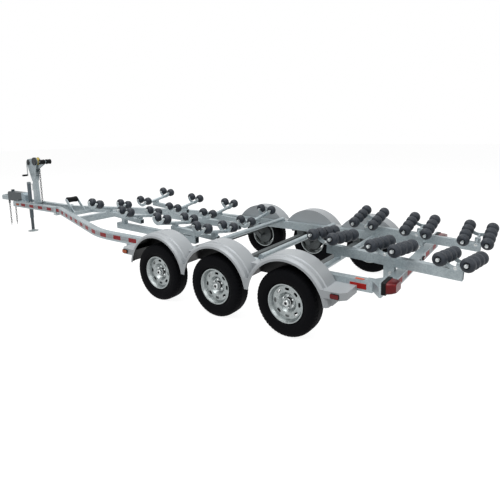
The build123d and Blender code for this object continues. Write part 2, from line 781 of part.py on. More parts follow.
walks = []  # station and height of the tube's middle, pitch, length
arm_spots = []
arm_seats = []
for (y1, y0), (up1, up0) in zip(ARM_STATIONS, TUBE_UP):
    pitch = degrees(atan2(up1 - up0, y1 - y0))
    length = hypot(y1 - y0, up1 - up0) + 2 * TUBE_OVER
    walks.append(((y1 + y0) / 2, RAIL_TOP + (up1 + up0) / 2, pitch, length))
    lean = ARM_LIFT * sin(radians(pitch))
    rise = ARM_LIFT * cos(radians(pitch))
    for y, up in ((y1, up1), (y0, up0)):
        for side in SIDES:
            turn = (pitch, -side * ARM_TILT, 0)
            arm_seats.append(lying(side * ARM_X, y, RAIL_TOP + up, pitch))
            arm_spots.append(Location((side * ARM_X, at(y) - lean, RAIL_TOP + up + rise), turn))

with BuildPart() as walking:
    for y, z, pitch, length in walks:
        with Locations(*[lying(s * ARM_X, y, z, pitch) for s in SIDES]):
            Box(TUBE_S, length, TUBE_S)
            Box(
                TUBE_S - 2 * TUBE_WALL,
                2 * length,
                TUBE_S - 2 * TUBE_WALL,
                mode=Mode.SUBTRACT,
            )
save(walking, "walking_tubes")

with BuildPart() as front_arms:
    with Locations(*arm_spots):
        add(roller_arm.part)
save(front_arms, "front_roller_arms")

with BuildPart() as front_rollers:
    with Locations(*arm_spots):
        add(arm_rollers.part)
save(front_rollers, "front_rollers")

# Rear cradle: bunk tubes, posts, tilting frames and rollers

BUNK_COS = cos(radians(BUNK_SLOPE))
BUNK_SIN = sin(radians(BUNK_SLOPE))
BUNK_LEN = (BUNK_FRONT - BUNK_REAR) / BUNK_COS
BUNK_MID = (BUNK_FRONT + BUNK_REAR) / 2
BUNK_MID_Z = bunk_low(BUNK_MID) + BUNK_H / 2 / BUNK_COS
with BuildPart() as bunks:
    with Locations(*[lying(s * BUNK_X, BUNK_MID, BUNK_MID_Z, BUNK_SLOPE) for s in SIDES]):
        Box(BUNK_W, BUNK_LEN, BUNK_H)
        Box(BUNK_W - 2 * BUNK_WALL, 2 * BUNK_LEN, BUNK_H - 2 * BUNK_WALL, mode=Mode.SUBTRACT)
save(bunks, "rear_bunks")

cradle_spots = []
cradle_seats = []
for station in CRADLES:
    up = BUNK_H + PIVOT_LIFT
    for side, bank, swing in CRADLE_REST:
        pivot = (side * BUNK_X, at(station) - up * BUNK_SIN, bunk_low(station) + up * BUNK_COS)
        cradle_spots.append(Location(pivot, (BUNK_SLOPE, bank, swing)))
        top = bunk_low(station) + BUNK_H * BUNK_COS
        cradle_seats.append(lying(side * BUNK_X, station - BUNK_H * BUNK_SIN, top, BUNK_SLOPE))
with BuildPart() as cradle_frames:
    with Locations(*cradle_spots):
        add(cradle_frame.part)
save(cradle_frames, "cradle_frames")
with BuildPart() as rear_rollers:
    with Locations(*cradle_spots):
        add(cradle_rollers.part)
save(rear_rollers, "rear_rollers")

with BuildPart() as lugs:
    with Locations(*cradle_seats):
        Box(LUG_W, LUG_L, LUG_H, align=STANDING)
    with Locations(*cradle_spots):
        Cylinder(PIVOT_R + SEAT, 2 * LUG_W, rotation=(0, 90, 0), mode=Mode.SUBTRACT)
save(lugs, "cradle_lugs")


def block(back: float, length: float, low, high) -> list[tuple[float, float]]:
    """Corners of a block's side, between an underside and a top given by station."""
    ahead = back + length
    return [
        (at(back), low(back)),
        (at(ahead), low(ahead)),
        (at(ahead), high(ahead)),
        (at(back), high(back)),
    ]


POST_H_MAX = RAIL_H + BUNK_UP
with BuildPart() as posts:
    for side in SIDES:
        left = side * BUNK_X - BUNK_W / 2
        # channel that stands against the rear cross tube, open to the front
        with BuildSketch(Plane.YZ.offset(left)):
            with BuildLine():
                Polyline(*block(REAR_FRONT, POST_L, lambda y: REAR_LOW, bunk_low), close=True)
            make_face()
        extrude(amount=BUNK_W)
        with Locations((side * BUNK_X, at(REAR_FRONT + POST_WALL + POST_L / 2), REAR_LOW)):
            Box(BUNK_W - 2 * POST_WALL, POST_L, POST_H_MAX, align=STANDING, mode=Mode.SUBTRACT)
        # saddle on the rearmost pipe
        back = PIPES[-1] - SADDLE_L / 2
        with BuildSketch(Plane.YZ.offset(left)):
            with BuildLine():
                Polyline(*block(back, SADDLE_L, lambda y: PIPE_Z, bunk_low), close=True)
            make_face()
            with Locations((at(PIPES[-1]), PIPE_Z)):
                Circle(PIPE_R + SEAT, mode=Mode.SUBTRACT)
        extrude(amount=BUNK_W)
save(posts, "bunk_posts")

# Pivot blocks of the front cradle

with BuildPart() as blocks:
    for side in SIDES:
        back = MID_CROSS - BLOCK_L / 2
        with BuildSketch(Plane.YZ.offset(side * ARM_X - CARRIER_W / 2)):
            with BuildLine():
                Polyline(*block(back, BLOCK_L, lambda y: RAIL_LOW, carrier_low), close=True)
            make_face()
        extrude(amount=CARRIER_W)
        for mid, z, pitch, _ in walks:
            low = z - TUBE_S / 2 / cos(radians(pitch))
            grade = tan(radians(pitch))
            with BuildSketch(Plane.YZ.offset(side * ARM_X - TUBE_S / 2)):
                corners = block(
                    mid - BLOCK_L / 2,
                    BLOCK_L,
                    lambda y: carrier_low(y) + CAR_UP,
                    lambda y: low + (y - mid) * grade,
                )
                with BuildLine():
                    Polyline(*corners, close=True)
                make_face()
            extrude(amount=TUBE_S)
    with Locations(*arm_seats):
        with Locations((0, 0, TUBE_S / 2)):
            Box(TUBE_S, BLOCK_L, ARM_LIFT - TUBE_S / 2, align=STANDING)
    with Locations(*arm_spots):
        Cylinder(ARM_R + SEAT, 2 * TUBE_S, rotation=(0, 90, 0), mode=Mode.SUBTRACT)
save(blocks, "pivot_blocks")

# Bow guide: a roller on two arms that rise from a bar between the diagonals

KEEL_Y, KEEL_Z = at(KEEL_AT), RAIL_TOP + KEEL_UP
GUIDE_Y, GUIDE_Z = KEEL_Y - GUIDE_BACK, RAIL_LOW + GUIDE_BAR / 2
GUIDE_X = KEEL_W / 2 + GUIDE_GAP
with BuildPart() as guide:
    for left in (-GUIDE_X - GUIDE_T, GUIDE_X):
        with BuildSketch(Plane.YZ.offset(left)):
            with Locations(((KEEL_Y + GUIDE_Y) / 2, (KEEL_Z + GUIDE_Z) / 2)):
                SlotCenterToCenter(
                    hypot(KEEL_Y - GUIDE_Y, KEEL_Z - GUIDE_Z),
                    GUIDE_W,
                    rotation=degrees(atan2(KEEL_Z - GUIDE_Z, KEEL_Y - GUIDE_Y)),
                )
        extrude(amount=GUIDE_T)
    with BuildSketch(Plane.XY.offset(RAIL_LOW)):
        with BuildLine():
            Polyline(*wish_plan(KEEL_AT - GUIDE_BACK, GUIDE_BAR), close=True)
        make_face()
    extrude(amount=GUIDE_BAR)
    with Locations((0, KEEL_Y, KEEL_Z)):
        Cylinder(SHAFT_R, 2 * (GUIDE_X + GUIDE_T), rotation=(0, 90, 0))
save(guide, "bow_guide_arms")

with BuildPart() as keel:
    with Locations((0, KEEL_Y, KEEL_Z)):
        Cylinder(KEEL_R, KEEL_W, rotation=(0, 90, 0))
        Cylinder(SHAFT_R + SEAT, 2 * KEEL_W, rotation=(0, 90, 0), mode=Mode.SUBTRACT)
save(keel, "keel_roller")

# Brake actuator and coupler

BASE_TOP = RAIL_TOP + BASE_T
BOX_TOP = RAIL_TOP + BOX_UP
HEAD_LOW = RAIL_TOP - HEAD_DOWN
HEAD_TOP = RAIL_TOP + HEAD_UP
TAB_BAR = HEAD_LOW - TAB_DROP  # top of the bar that a safety chain hangs on
CHAIN_SPOTS = [(s * CHAIN_X, at(BOX_FRONT - CHAIN_BACK)) for s in SIDES]
with BuildPart() as actuator:
    with Locations((0, at((BASE_REAR + TONGUE_END) / 2), RAIL_TOP)):
        Box(2 * TONGUE_X, TONGUE_END - BASE_REAR, BASE_T, align=STANDING)
    with BuildSketch(Plane.YZ.offset(-BOX_W / 2)):
        with BuildLine():
            Polyline(
                (at(BOX_REAR), RAIL_TOP),
                (at(BOX_REAR), BOX_TOP - BOX_REAR_BEVEL[1]),
                (at(BOX_REAR + BOX_REAR_BEVEL[0]), BOX_TOP),
                (at(BOX_FRONT - BOX_NOSE_BEVEL[0]), BOX_TOP),
                (at(BOX_FRONT), BOX_TOP - BOX_NOSE_BEVEL[1]),
                (at(BOX_FRONT), HEAD_LOW),
                (at(TONGUE_END), HEAD_LOW),
                (at(TONGUE_END), RAIL_TOP),
                close=True,
            )
        make_face()
    extrude(amount=BOX_W)
    with Locations((0, at(BOX_FRONT - FILLER_BACK), BOX_TOP)):
        Cylinder(FILLER_R, 2 * FILLER_H)
    with Locations(*[(x, y, TAB_BAR - HANG_BAR) for x, y in CHAIN_SPOTS]):
        Box(TAB_W, HANG_BAR, TAB_DROP + HANG_BAR, align=STANDING)
    with Locations(*[(x, y, TAB_BAR) for x, y in CHAIN_SPOTS]):
        Box(TAB_GAP, 2 * HANG_BAR, TAB_WINDOW, align=STANDING, mode=Mode.SUBTRACT)
save(actuator, "brake_actuator")

BALL_Y = at(NOSE - BALL_BACK)
with BuildPart() as coupler:
    with BuildSketch(Plane.XY.offset(HEAD_LOW)):
        with Locations((0, at((BOX_FRONT + NOSE - HEAD_W / 2) / 2))):
            Rectangle(HEAD_W, HEAD_L - HEAD_W / 2)
        with Locations((0, at(NOSE - HEAD_W / 2))):
            Circle(HEAD_W / 2)
    extrude(amount=HEAD_TOP - HEAD_LOW)
    chamfer(coupler.faces().sort_by(Axis.Z)[-1].edges(), HEAD_CHAMFER)
    with Locations((0, BALL_Y, HEAD_LOW + BALL_UP)):
        Sphere(BALL_R, mode=Mode.SUBTRACT)
    with Locations((0, BALL_Y, HEAD_LOW)):
        Cylinder(BALL_R, BALL_UP, align=STANDING, mode=Mode.SUBTRACT)
    with BuildSketch(Plane.YZ.offset(-LATCH_W / 2)):
        with BuildLine():
            Polyline(
                (at(BOX_FRONT + LATCH_BACK), HEAD_TOP),
                (at(BOX_FRONT + LATCH_BACK), HEAD_TOP + LATCH_H),
                (at(NOSE - LATCH_AHEAD), HEAD_TOP + LATCH_TOE),
                (at(NOSE - LATCH_AHEAD), HEAD_TOP),
                close=True,
            )
        make_face()
    extrude(amount=LATCH_W)
save(coupler, "coupler")

# Jack between the tongue's rails, wound from its right side

JACK_Y = at(JACK_AT)
JACK_TOP = RAIL_TOP + JACK_UP
JACK_LOW = FOOT_T + JACK_TRAVEL + JACK_CLEAR
LEG_TOP = JACK_TOP - JACK_FLOOR - JACK_TRAVEL - LEG_SPARE
with BuildPart() as jack_tube:
    with Locations((0, JACK_Y, JACK_LOW)):
        Cylinder(JACK_R, JACK_TOP - JACK_LOW, align=STANDING)
    with Locations((0, JACK_Y, RAIL_MID)):
        Box(2 * (TONGUE_OUT - RAIL_W), JACK_BRACKET_L, JACK_BRACKET_H)
    with Locations((0, JACK_Y, JACK_LOW)):
        Cylinder(LEG_R + RUN, JACK_TOP - JACK_LOW - JACK_FLOOR, align=STANDING, mode=Mode.SUBTRACT)
save(jack_tube, "jack_tube")

with BuildPart() as jack_leg:
    with Locations((0, JACK_Y, 0)):
        Cylinder(FOOT_R, FOOT_T, align=STANDING)
        Cylinder(LEG_R, LEG_TOP, align=STANDING)
save(jack_leg, "jack_leg")

WINDER_X = JACK_R + WINDER_OUT
WINDER_Z = JACK_TOP - WINDER_DROP
with BuildPart() as jack_crank:
    with BuildSketch(Plane.YZ.offset(JACK_R + SEAT)):
        with Locations((JACK_Y, WINDER_Z)):
            Circle(CRANK_SHAFT_R)
    extrude(amount=WINDER_OUT)
    with Locations((WINDER_X + WINDER_T / 2, JACK_Y, WINDER_Z - WINDER_ARM / 2)):
        Box(WINDER_T, 2 * CRANK_SHAFT_R, WINDER_ARM + 2 * CRANK_SHAFT_R)
    with BuildSketch(Plane.YZ.offset(WINDER_X)):
        with Locations((JACK_Y, WINDER_Z - WINDER_ARM)):
            Circle(GRIP_R)
    extrude(amount=GRIP_L)
save(jack_crank, "jack_crank")

# Winch stand

POST_Y = at(POST_AT)
POST_TOP = RAIL_TOP + POST_H
with BuildPart() as winch_post:
    with Locations((0, POST_Y, RAIL_TOP)):
        Box(2 * TONGUE_X, POST_FOOT[1] + 2 * POST_MARGIN, BASE_T, align=STANDING)
    for z, size in ((BASE_TOP, POST_FOOT), (POST_TOP, POST_HEAD)):
        with BuildSketch(Plane.XY.offset(z)):
            with Locations((0, POST_Y)):
                Rectangle(*size)
    loft()
save(winch_post, "winch_post")

SPOOL_Y, SPOOL_Z = POST_Y - SPOOL_BACK, POST_TOP + SPOOL_UP
CRANK_Y, CRANK_Z = POST_Y + CRANK_AHEAD, POST_TOP + CRANK_UP
BOW_Y, BOW_Z = POST_Y - BOW_BACK, POST_TOP + BOW_UP
ARM_Z = POST_TOP + BOW_ARM_UP
BOW_CHAIN_Y = POST_Y - BOW_CHAIN_BACK
BOW_CHAIN_Z = ARM_Z + (BOW_Z - ARM_Z) * BOW_CHAIN_BACK / BOW_BACK - BOW_CHAIN_LOW
# the plates stand clear of the tapered post where its lap is widest
POST_GROWTH = (POST_FOOT[0] - POST_HEAD[0]) / 2 * HEAD_LAP / (POST_TOP - BASE_TOP)
HEAD_X = POST_HEAD[0] / 2 + POST_GROWTH + SEAT
BOW_X = BOW_ARM_IN + BOW_ARM_T + BOW_GAP
with BuildPart() as winch_head:
    for left in (-HEAD_X - HEAD_T, HEAD_X):
        with BuildSketch(Plane.YZ.offset(left)):
            with Locations((POST_Y, POST_TOP - HEAD_LAP / 2)):
                Rectangle(POST_HEAD[1], HEAD_LAP)
            with Locations((SPOOL_Y, SPOOL_Z), (CRANK_Y, CRANK_Z)):
                Circle(HEAD_MARGIN)
            make_hull()
            with Locations((CRANK_Y, CRANK_Z)):
                Circle(CRANK_SHAFT_R + SEAT, mode=Mode.SUBTRACT)
        extrude(amount=HEAD_T)
    # a block between the plates carries the two arm plates of the bow rollers
    with Locations((0, POST_Y, ARM_Z)):
        Box(2 * HEAD_X, BOW_BLOCK, BOW_BLOCK)
    for left in (-BOW_ARM_IN - BOW_ARM_T, BOW_ARM_IN):
        with BuildSketch(Plane.YZ.offset(left)):
            with Locations(((POST_Y + BOW_Y) / 2, (ARM_Z + BOW_Z) / 2)):
                SlotCenterToCenter(
                    hypot(POST_Y - BOW_Y, ARM_Z - BOW_Z),
                    BOW_ARM_W,
                    rotation=degrees(atan2(ARM_Z - BOW_Z, POST_Y - BOW_Y)),
                )
        extrude(amount=BOW_ARM_T)
    with Locations((0, SPOOL_Y, SPOOL_Z)):
        Cylinder(CRANK_SHAFT_R, 2 * (HEAD_X + HEAD_T), rotation=(0, 90, 0))
    with Locations((0, BOW_Y, BOW_Z)):
        Cylinder(CRANK_SHAFT_R, 2 * (BOW_X + BOW_W + BOW_END), rotation=(0, 90, 0))
    with Locations((0, BOW_CHAIN_Y, BOW_CHAIN_Z - HANG_BAR / 2)):
        Box(2 * (BOW_ARM_IN + BOW_ARM_T), HANG_BAR, HANG_BAR)
    with Locations((-HEAD_X - HEAD_T - GEAR_T / 2, SPOOL_Y, SPOOL_Z)):
        Cylinder(GEAR_R, GEAR_T, rotation=(0, 90, 0))
save(winch_head, "winch_head")

with BuildPart() as winch_drum:
    with BuildSketch(Plane((0, SPOOL_Y, SPOOL_Z), x_dir=(1, 0, 0), z_dir=(0, -1, 0))):
        with BuildLine():
            Polyline(
                (-SPOOL_W / 2, CRANK_SHAFT_R + SEAT),
                (-SPOOL_W / 2, FLANGE_R),
                (-SPOOL_W / 2 + FLANGE_T, FLANGE_R),
                (-SPOOL_W / 2 + FLANGE_T, STRAP_R),
                (SPOOL_W / 2 - FLANGE_T, STRAP_R),
                (SPOOL_W / 2 - FLANGE_T, FLANGE_R),
                (SPOOL_W / 2, FLANGE_R),
                (SPOOL_W / 2, CRANK_SHAFT_R + SEAT),
                close=True,
            )
        make_face()
    revolve(axis=Axis((0, SPOOL_Y, SPOOL_Z), (1, 0, 0)))
save(winch_drum, "winch_drum")

CRANK_X = -HEAD_X - HEAD_T - GEAR_T - CRANK_GAP
with BuildPart() as winch_crank:
    with BuildSketch(Plane.YZ.offset(CRANK_X - CRANK_T)):
        with Locations((CRANK_Y, CRANK_Z)):
            Circle(CRANK_SHAFT_R)
    extrude(amount=CRANK_T - CRANK_X - HEAD_X + CRANK_GAP)
    with Locations((CRANK_X - CRANK_T / 2, CRANK_Y, CRANK_Z - CRANK_L / 2)):
        Box(CRANK_T, 2 * CRANK_SHAFT_R, CRANK_L + 2 * CRANK_SHAFT_R)
    with BuildSketch(Plane.YZ.offset(CRANK_X - CRANK_T)):
        with Locations((CRANK_Y, CRANK_Z - CRANK_L)):
            Circle(GRIP_R)
    extrude(amount=-GRIP_L)
save(winch_crank, "winch_crank")

with BuildPart() as bow_rollers:
    with Locations(*[(s * (BOW_X + BOW_W / 2), BOW_Y, BOW_Z) for s in SIDES]):
        Cylinder(BOW_R, BOW_W, rotation=(0, 90, 0))
        Cylinder(CRANK_SHAFT_R + SEAT, 2 * BOW_W, rotation=(0, 90, 0), mode=Mode.SUBTRACT)
save(bow_rollers, "bow_rollers")

# Chains

LINK_HALF = LINK_IN / 2 + WIRE
LINK_STEP = LINK_IN - SEAT
HOOK_ARC = CenterArc((0, -LINK_HALF + WIRE / 2 - HOOK_R), HOOK_R, 90, -HOOK_TURN)
with BuildPart() as link:
    with BuildSketch(Plane.YZ.offset(-WIRE / 2)):
        Rectangle(LINK_GAP + 2 * WIRE, 2 * LINK_HALF)
        Rectangle(LINK_GAP, LINK_IN, mode=Mode.SUBTRACT)
    extrude(amount=WIRE)
with BuildPart() as hook:
    add(link.part)
    with BuildSketch(Plane.YZ.offset(-WIRE / 2)):
        SlotArc(HOOK_ARC, WIRE)
    extrude(amount=WIRE)

# x, y, top of the bar, drop
RUNS = [(x, y, TAB_BAR, CHAIN_DROP) for x, y in CHAIN_SPOTS]
RUNS.append((0, BOW_CHAIN_Y, BOW_CHAIN_Z, BOW_CHAIN_DROP))
links = []
hooks = []
for x, y, top, drop in RUNS:
    count = round(drop / LINK_STEP)
    for k in range(count + 1):
        spot = Location((x, y, top + SEAT - LINK_IN / 2 - k * LINK_STEP), (0, 0, 90 * (k % 2)))
        (links if k < count else hooks).append(spot)
with BuildPart() as chains:
    with Locations(*links):
        add(link.part)
    with Locations(*hooks):
        add(hook.part)
save(chains, "chains")
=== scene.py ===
"""Looks of a three-axle roller boat trailer: finishes, detail pieces, studio light and camera.

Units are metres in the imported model's own frame: X to the trailer's right, Y forward, Z up, ground at Z = 0.
Stations are counted along Y from the middle axle, forward positive.
"""

import logging
from dataclasses import dataclass, field
from enum import Enum
from typing import Iterable, Sequence

import bmesh
import bpy
import numpy as np
from mathutils import Matrix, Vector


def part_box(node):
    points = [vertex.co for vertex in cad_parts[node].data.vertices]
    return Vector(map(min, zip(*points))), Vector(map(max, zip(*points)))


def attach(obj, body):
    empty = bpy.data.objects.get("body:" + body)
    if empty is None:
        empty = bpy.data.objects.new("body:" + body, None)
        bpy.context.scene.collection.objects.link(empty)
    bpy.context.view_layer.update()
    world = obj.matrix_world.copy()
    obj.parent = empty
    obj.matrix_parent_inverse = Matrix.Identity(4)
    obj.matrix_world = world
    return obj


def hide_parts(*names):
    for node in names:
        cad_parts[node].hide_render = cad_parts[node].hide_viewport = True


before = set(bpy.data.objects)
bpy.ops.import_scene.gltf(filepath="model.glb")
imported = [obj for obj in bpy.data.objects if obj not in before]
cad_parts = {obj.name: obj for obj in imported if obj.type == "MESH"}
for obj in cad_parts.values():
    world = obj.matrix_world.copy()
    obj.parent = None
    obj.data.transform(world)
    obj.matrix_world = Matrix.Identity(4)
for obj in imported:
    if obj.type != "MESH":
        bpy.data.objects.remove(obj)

LOG = logging.getLogger("boat_trailer")
Array = np.ndarray
SIDES = (-1.0, 1.0)
TURN = 2 * np.pi
SHAFT_NUT = 0.018  # across the flats
WHEEL_TAGS = ("l1", "l2", "l3", "r1", "r2", "r3")
UP = (0.0, 0.0, 1.0)


class Body(Enum):
    """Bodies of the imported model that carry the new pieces."""

    FRAME = "frame"
    CRANK = "winch_crank"


class Slot(Enum):
    """Names of material slots that the calls pass to Skin.build, which does not use them."""

    ZINC = "zinc"
    TYRE = "tyre"
    ROLLER = "roller"
    AMBER = "amber"
    RED = "red"


class Axis(Enum):
    """A coordinate axis, by its number."""

    X = 0
    Y = 1
    Z = 2


# Shapes on grids of points


def grid_quads(rows: int, columns: int, round_rows: bool, round_columns: bool) -> tuple[Array, Array]:
    """Quads between neighbouring points of a grid, row by row.

    Args:
        rows: number of rows.
        columns: number of columns.
        round_rows: True where the last row joins the first.
        round_columns: True where the last column joins the first.

    Returns:
        Point numbers (quads, 4), and the unwrapped (row, column) of each corner (quads, 4, 2).
    """
    row = np.arange(rows if round_rows else rows - 1)
    column = np.arange(columns if round_columns else columns - 1)
    corner = np.array([(0, 0), (1, 0), (1, 1), (0, 1)])
    cells = np.stack(np.meshgrid(row, column, indexing="ij"), axis=-1).reshape(-1, 1, 2) + corner
    return cells[..., 0] % rows * columns + cells[..., 1] % columns, cells


def turned(profile: Array, sides: int, hexed: Array | None = None) -> Array:
    """A profile turned about the X axis: (x, r) goes to (x, r cos a, r sin a) for angles a all round.

    Args:
        profile: points (rows, 2) of x and radius.
        sides: number of angles.
        hexed: where True, a row is a hexagon whose flats are at that radius.

    Returns:
        Grid of points (rows, sides, 3).
    """
    angle = np.arange(sides) * TURN / sides
    radius = np.repeat(profile[:, 1:], sides, axis=1)
    if hexed is not None:
        flat = 1 / np.cos((angle + TURN / 12) % (TURN / 6) - TURN / 12)
        radius = np.where(hexed[:, None], radius * flat, radius)
    along = np.repeat(profile[:, :1], sides, axis=1)
    return np.stack([along, radius * np.cos(angle), radius * np.sin(angle)], axis=-1)


def swept(path: Array, side: Array, up: Array, section: Array) -> Array:
    """A section carried along a path: each path point plus the section's two parts along side and up.

    Args:
        path: points (rows, 3).
        side: unit vectors (rows, 3) of the section's first part.
        up: unit vectors (rows, 3) of the section's second part.
        section: points (columns, 2) of a closed section.

    Returns:
        Grid of points (rows, columns, 3).
    """
    across = side[:, None, :] * section[None, :, :1]
    return path[:, None, :] + across + up[:, None, :] * section[None, :, 1:]


def capped(grid: Array) -> Array:
    """A grid with its first and last rows drawn together to their middles, so that both ends close."""
    ends = grid[[0, -1]].mean(axis=1, keepdims=True).repeat(grid.shape[1], axis=1)
    return np.concatenate([ends[:1], grid, ends[1:]])


def ribbon(path: Array, side: Array, up: Array, section: Array, width: float) -> tuple[Array, tuple]:
    """A closed sweep with its lengths: metres along the path, and twice the width round the section.

    Args:
        path: points (rows, 3).
        side: unit vectors (rows, 3) of the section's first part.
        up: unit vectors (rows, 3) of the section's second part.
        section: points (columns, 2) of a closed section.
        width: larger size of the section.

    Returns:
        Grid of points (rows + 2, columns, 3), and the map values of its rows and columns.
    """
    length = np.concatenate([[0], np.cumsum(np.linalg.norm(np.diff(path, axis=0), axis=1))])
    rows = np.concatenate([length[:1], length, length[-1:]])
    return capped(swept(path, side, up, section)), (rows, np.linspace(0, 2 * width, len(section) + 1))


def rounded_box(width: float, height: float, corner: float, steps: int = 3) -> Array:
    """A rectangle with round corners, as four quarter circles.

    Args:
        width: size along the first part.
        height: size along the second part.
        corner: radius of the corners.
        steps: points on each corner.

    Returns:
        Points (4 * steps, 2) round the rectangle.
    """
    angle = (np.arange(4)[:, None] + np.linspace(0, 1, steps)[None, :]) * TURN / 4
    quarter = np.arange(4) * TURN / 4 + TURN / 8
    middle = np.stack([np.sign(np.cos(quarter)), np.sign(np.sin(quarter))], axis=-1)
    middle = middle * (width / 2 - corner, height / 2 - corner)
    ring = corner * np.stack([np.cos(angle), np.sin(angle)], axis=-1)
    return (middle[:, None, :] + ring).reshape(-1, 2)


def circle(radius: float, sides: int) -> Array:
    """Points (sides, 2) of a circle."""
    angle = np.arange(sides) * TURN / sides
    return radius * np.stack([np.cos(angle), np.sin(angle)], axis=-1)


def framed(width: float, height: float, corner: float, axis: Axis, section: Array) -> Array:
    """A bezel: a section carried round a rectangle with round corners that faces along an axis.

    Args:
        width: size along the first of the other two axes.
        height: size along the second of the other two axes.
        corner: radius of the corners.
        axis: the direction that the bezel faces.
        section: points (columns, 2), along the axis and away from the middle.

    Returns:
        Grid of points (rows, columns, 3) round the origin.
    """
    ring = rounded_box(width, height, corner, 4)
    first, second = [k for k in range(3) if k != axis.value]
    inner = np.clip(np.abs(ring) - (width / 2 - corner, height / 2 - corner), 0, None) * np.sign(ring)
    flat = inner / np.linalg.norm(inner, axis=1, keepdims=True)
    path, out, along = (np.zeros((len(ring), 3)) for _ in range(3))
    path[:, [first, second]] = ring
    out[:, [first, second]] = flat
    along[:, axis.value] = 1.0
    return swept(path, along, out, section)


def pitched(angle: float) -> Array:
    """Turn about X by an angle in degrees, nose up."""
    c, s = np.cos(np.radians(angle)), np.sin(np.radians(angle))
    return np.array([[1, 0, 0], [0, c, -s], [0, s, c]])


def banked(angle: float) -> Array:
    """Turn about Y by an angle in degrees."""
    c, s = np.cos(np.radians(angle)), np.sin(np.radians(angle))
    return np.array([[c, 0, s], [0, 1, 0], [-s, 0, c]])


def swung(angle: float) -> Array:
    """Turn about Z by an angle in degrees."""
    c, s = np.cos(np.radians(angle)), np.sin(np.radians(angle))
    return np.array([[c, -s, 0], [s, c, 0], [0, 0, 1]])


def aimed(direction: Sequence[float]) -> Array:
    """Turn that takes the X axis to a direction."""
    x = np.array(direction, float) / np.linalg.norm(direction)
    spare = np.eye(3)[np.argmin(np.abs(x))]
    y = np.cross(spare, x)
    y /= np.linalg.norm(y)
    return np.stack([x, y, np.cross(x, y)], axis=1)


def placed(grid: Array, turns: Array, spots: Array) -> Array:
    """Copies of a grid, each turned and then moved to its spot.

    Args:
        grid: points (rows, columns, 3).
        turns: rotations (copies, 3, 3).
        spots: places (copies, 3).

    Returns:
        Grids (copies, rows, columns, 3).
    """
    return np.einsum("nij,rcj->nrci", turns, grid) + np.asarray(spots)[:, None, None, :]


def node_box(node: str) -> tuple[Array, Array]:
    """Lowest and highest corner of a CAD node."""
    low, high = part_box(node)
    return np.array(low), np.array(high)


def node_middle(node: str) -> Array:
    """Middle of a CAD node's box."""
    return sum(node_box(node)) / 2


AXLE_Y = float(node_middle("tyre_l2")[1])
RAIL_TOP = float(node_box("rail_left")[1][2])


def at(station: float) -> float:
    """Y of a station."""
    return AXLE_Y + station


# Finishes


def srgb(code: str) -> tuple[float, float, float, float]:
    """Linear colour of an sRGB hex code such as #a0b0c0."""
    value = np.array([int(code[k:k + 2], 16) / 255 for k in (1, 3, 5)])
    linear = np.where(value <= 0.04045, value / 12.92, ((value + 0.055) / 1.055) ** 2.4)
    return (*linear.tolist(), 1.0)


def add_node(tree: bpy.types.NodeTree, kind: str, inputs: dict | None = None, **settings) -> bpy.types.Node:
    """Add one shader node.

    Args:
        tree: the material's node tree.
        kind: node type without its ShaderNode prefix.
        inputs: socket name or number to a value, or to the output that feeds it.
        settings: properties of the node itself.

    Returns:
        The new node.
    """
    node = tree.nodes.new(f"ShaderNode{kind}")
    for name, value in settings.items():
        setattr(node, name, value)
    for key, value in (inputs or {}).items():
        if isinstance(value, bpy.types.NodeSocket):
            tree.links.new(value, node.inputs[key])
        else:
            node.inputs[key].default_value = value
    return node


@dataclass(frozen=True)
class Finish:
    """A surface finish, made into one material the first time it is asked for."""

    name: str

    def paint(self, tree: bpy.types.NodeTree, shader: bpy.types.Node) -> None:
        """Add the nodes of this finish and feed the shader."""
        raise NotImplementedError

    def material(self) -> bpy.types.Material:
        """The material of this finish."""
        made = bpy.data.materials.get(self.name)
        if made is None:
            made = bpy.data.materials.new(self.name)
            made.use_nodes = True
            self.paint(made.node_tree, made.node_tree.nodes["Principled BSDF"])
        return made


def blended(tree: bpy.types.NodeTree, share: object, first: object, second: object) -> bpy.types.NodeSocket:
    """Colour between two colours by a share.

    Args:
        tree: the material's node tree.
        share: output or number, 0 for the first colour and 1 for the second.
        first: colour or output.
        second: colour or output.

    Returns:
        The blended colour's output.
    """
    mix = add_node(tree, "Mix", {0: share, 6: first, 7: second}, data_type="RGBA")
    return mix.outputs[2]


def ranged(tree: bpy.types.NodeTree, value: object, low: float, high: float) -> bpy.types.NodeSocket:
    """A value of 0 to 1 spread over a range.

    Args:
        tree: the material's node tree.
        value: output of 0 to 1.
        low: result at 0.
        high: result at 1.

    Returns:
        The spread value's output.
    """
    return add_node(tree, "MapRange", {"Value": value, "To Min": low, "To Max": high}).outputs["Result"]


def joined(
    tree: bpy.types.NodeTree, operation: str, first: object, second: object = 0.0
) -> bpy.types.NodeSocket:
    """Result of a sum on one or two values.

    Args:
        tree: the material's node tree.
        operation: name of the Math node's operation.
        first: output or number.
        second: output or number.

    Returns:
        The result's output.
    """
    return add_node(tree, "Math", {0: first, 1: second}, operation=operation).outputs[0]


def feed(tree: bpy.types.NodeTree, shader: bpy.types.Node, **inputs: object) -> None:
    """Set or link the shader's sockets, whose names have underscores for spaces."""
    for name, value in inputs.items():
        socket = shader.inputs[name.replace("_", " ").title().replace("Ior", "IOR")]
        if isinstance(value, bpy.types.NodeSocket):
            tree.links.new(value, socket)
        else:
            socket.default_value = value


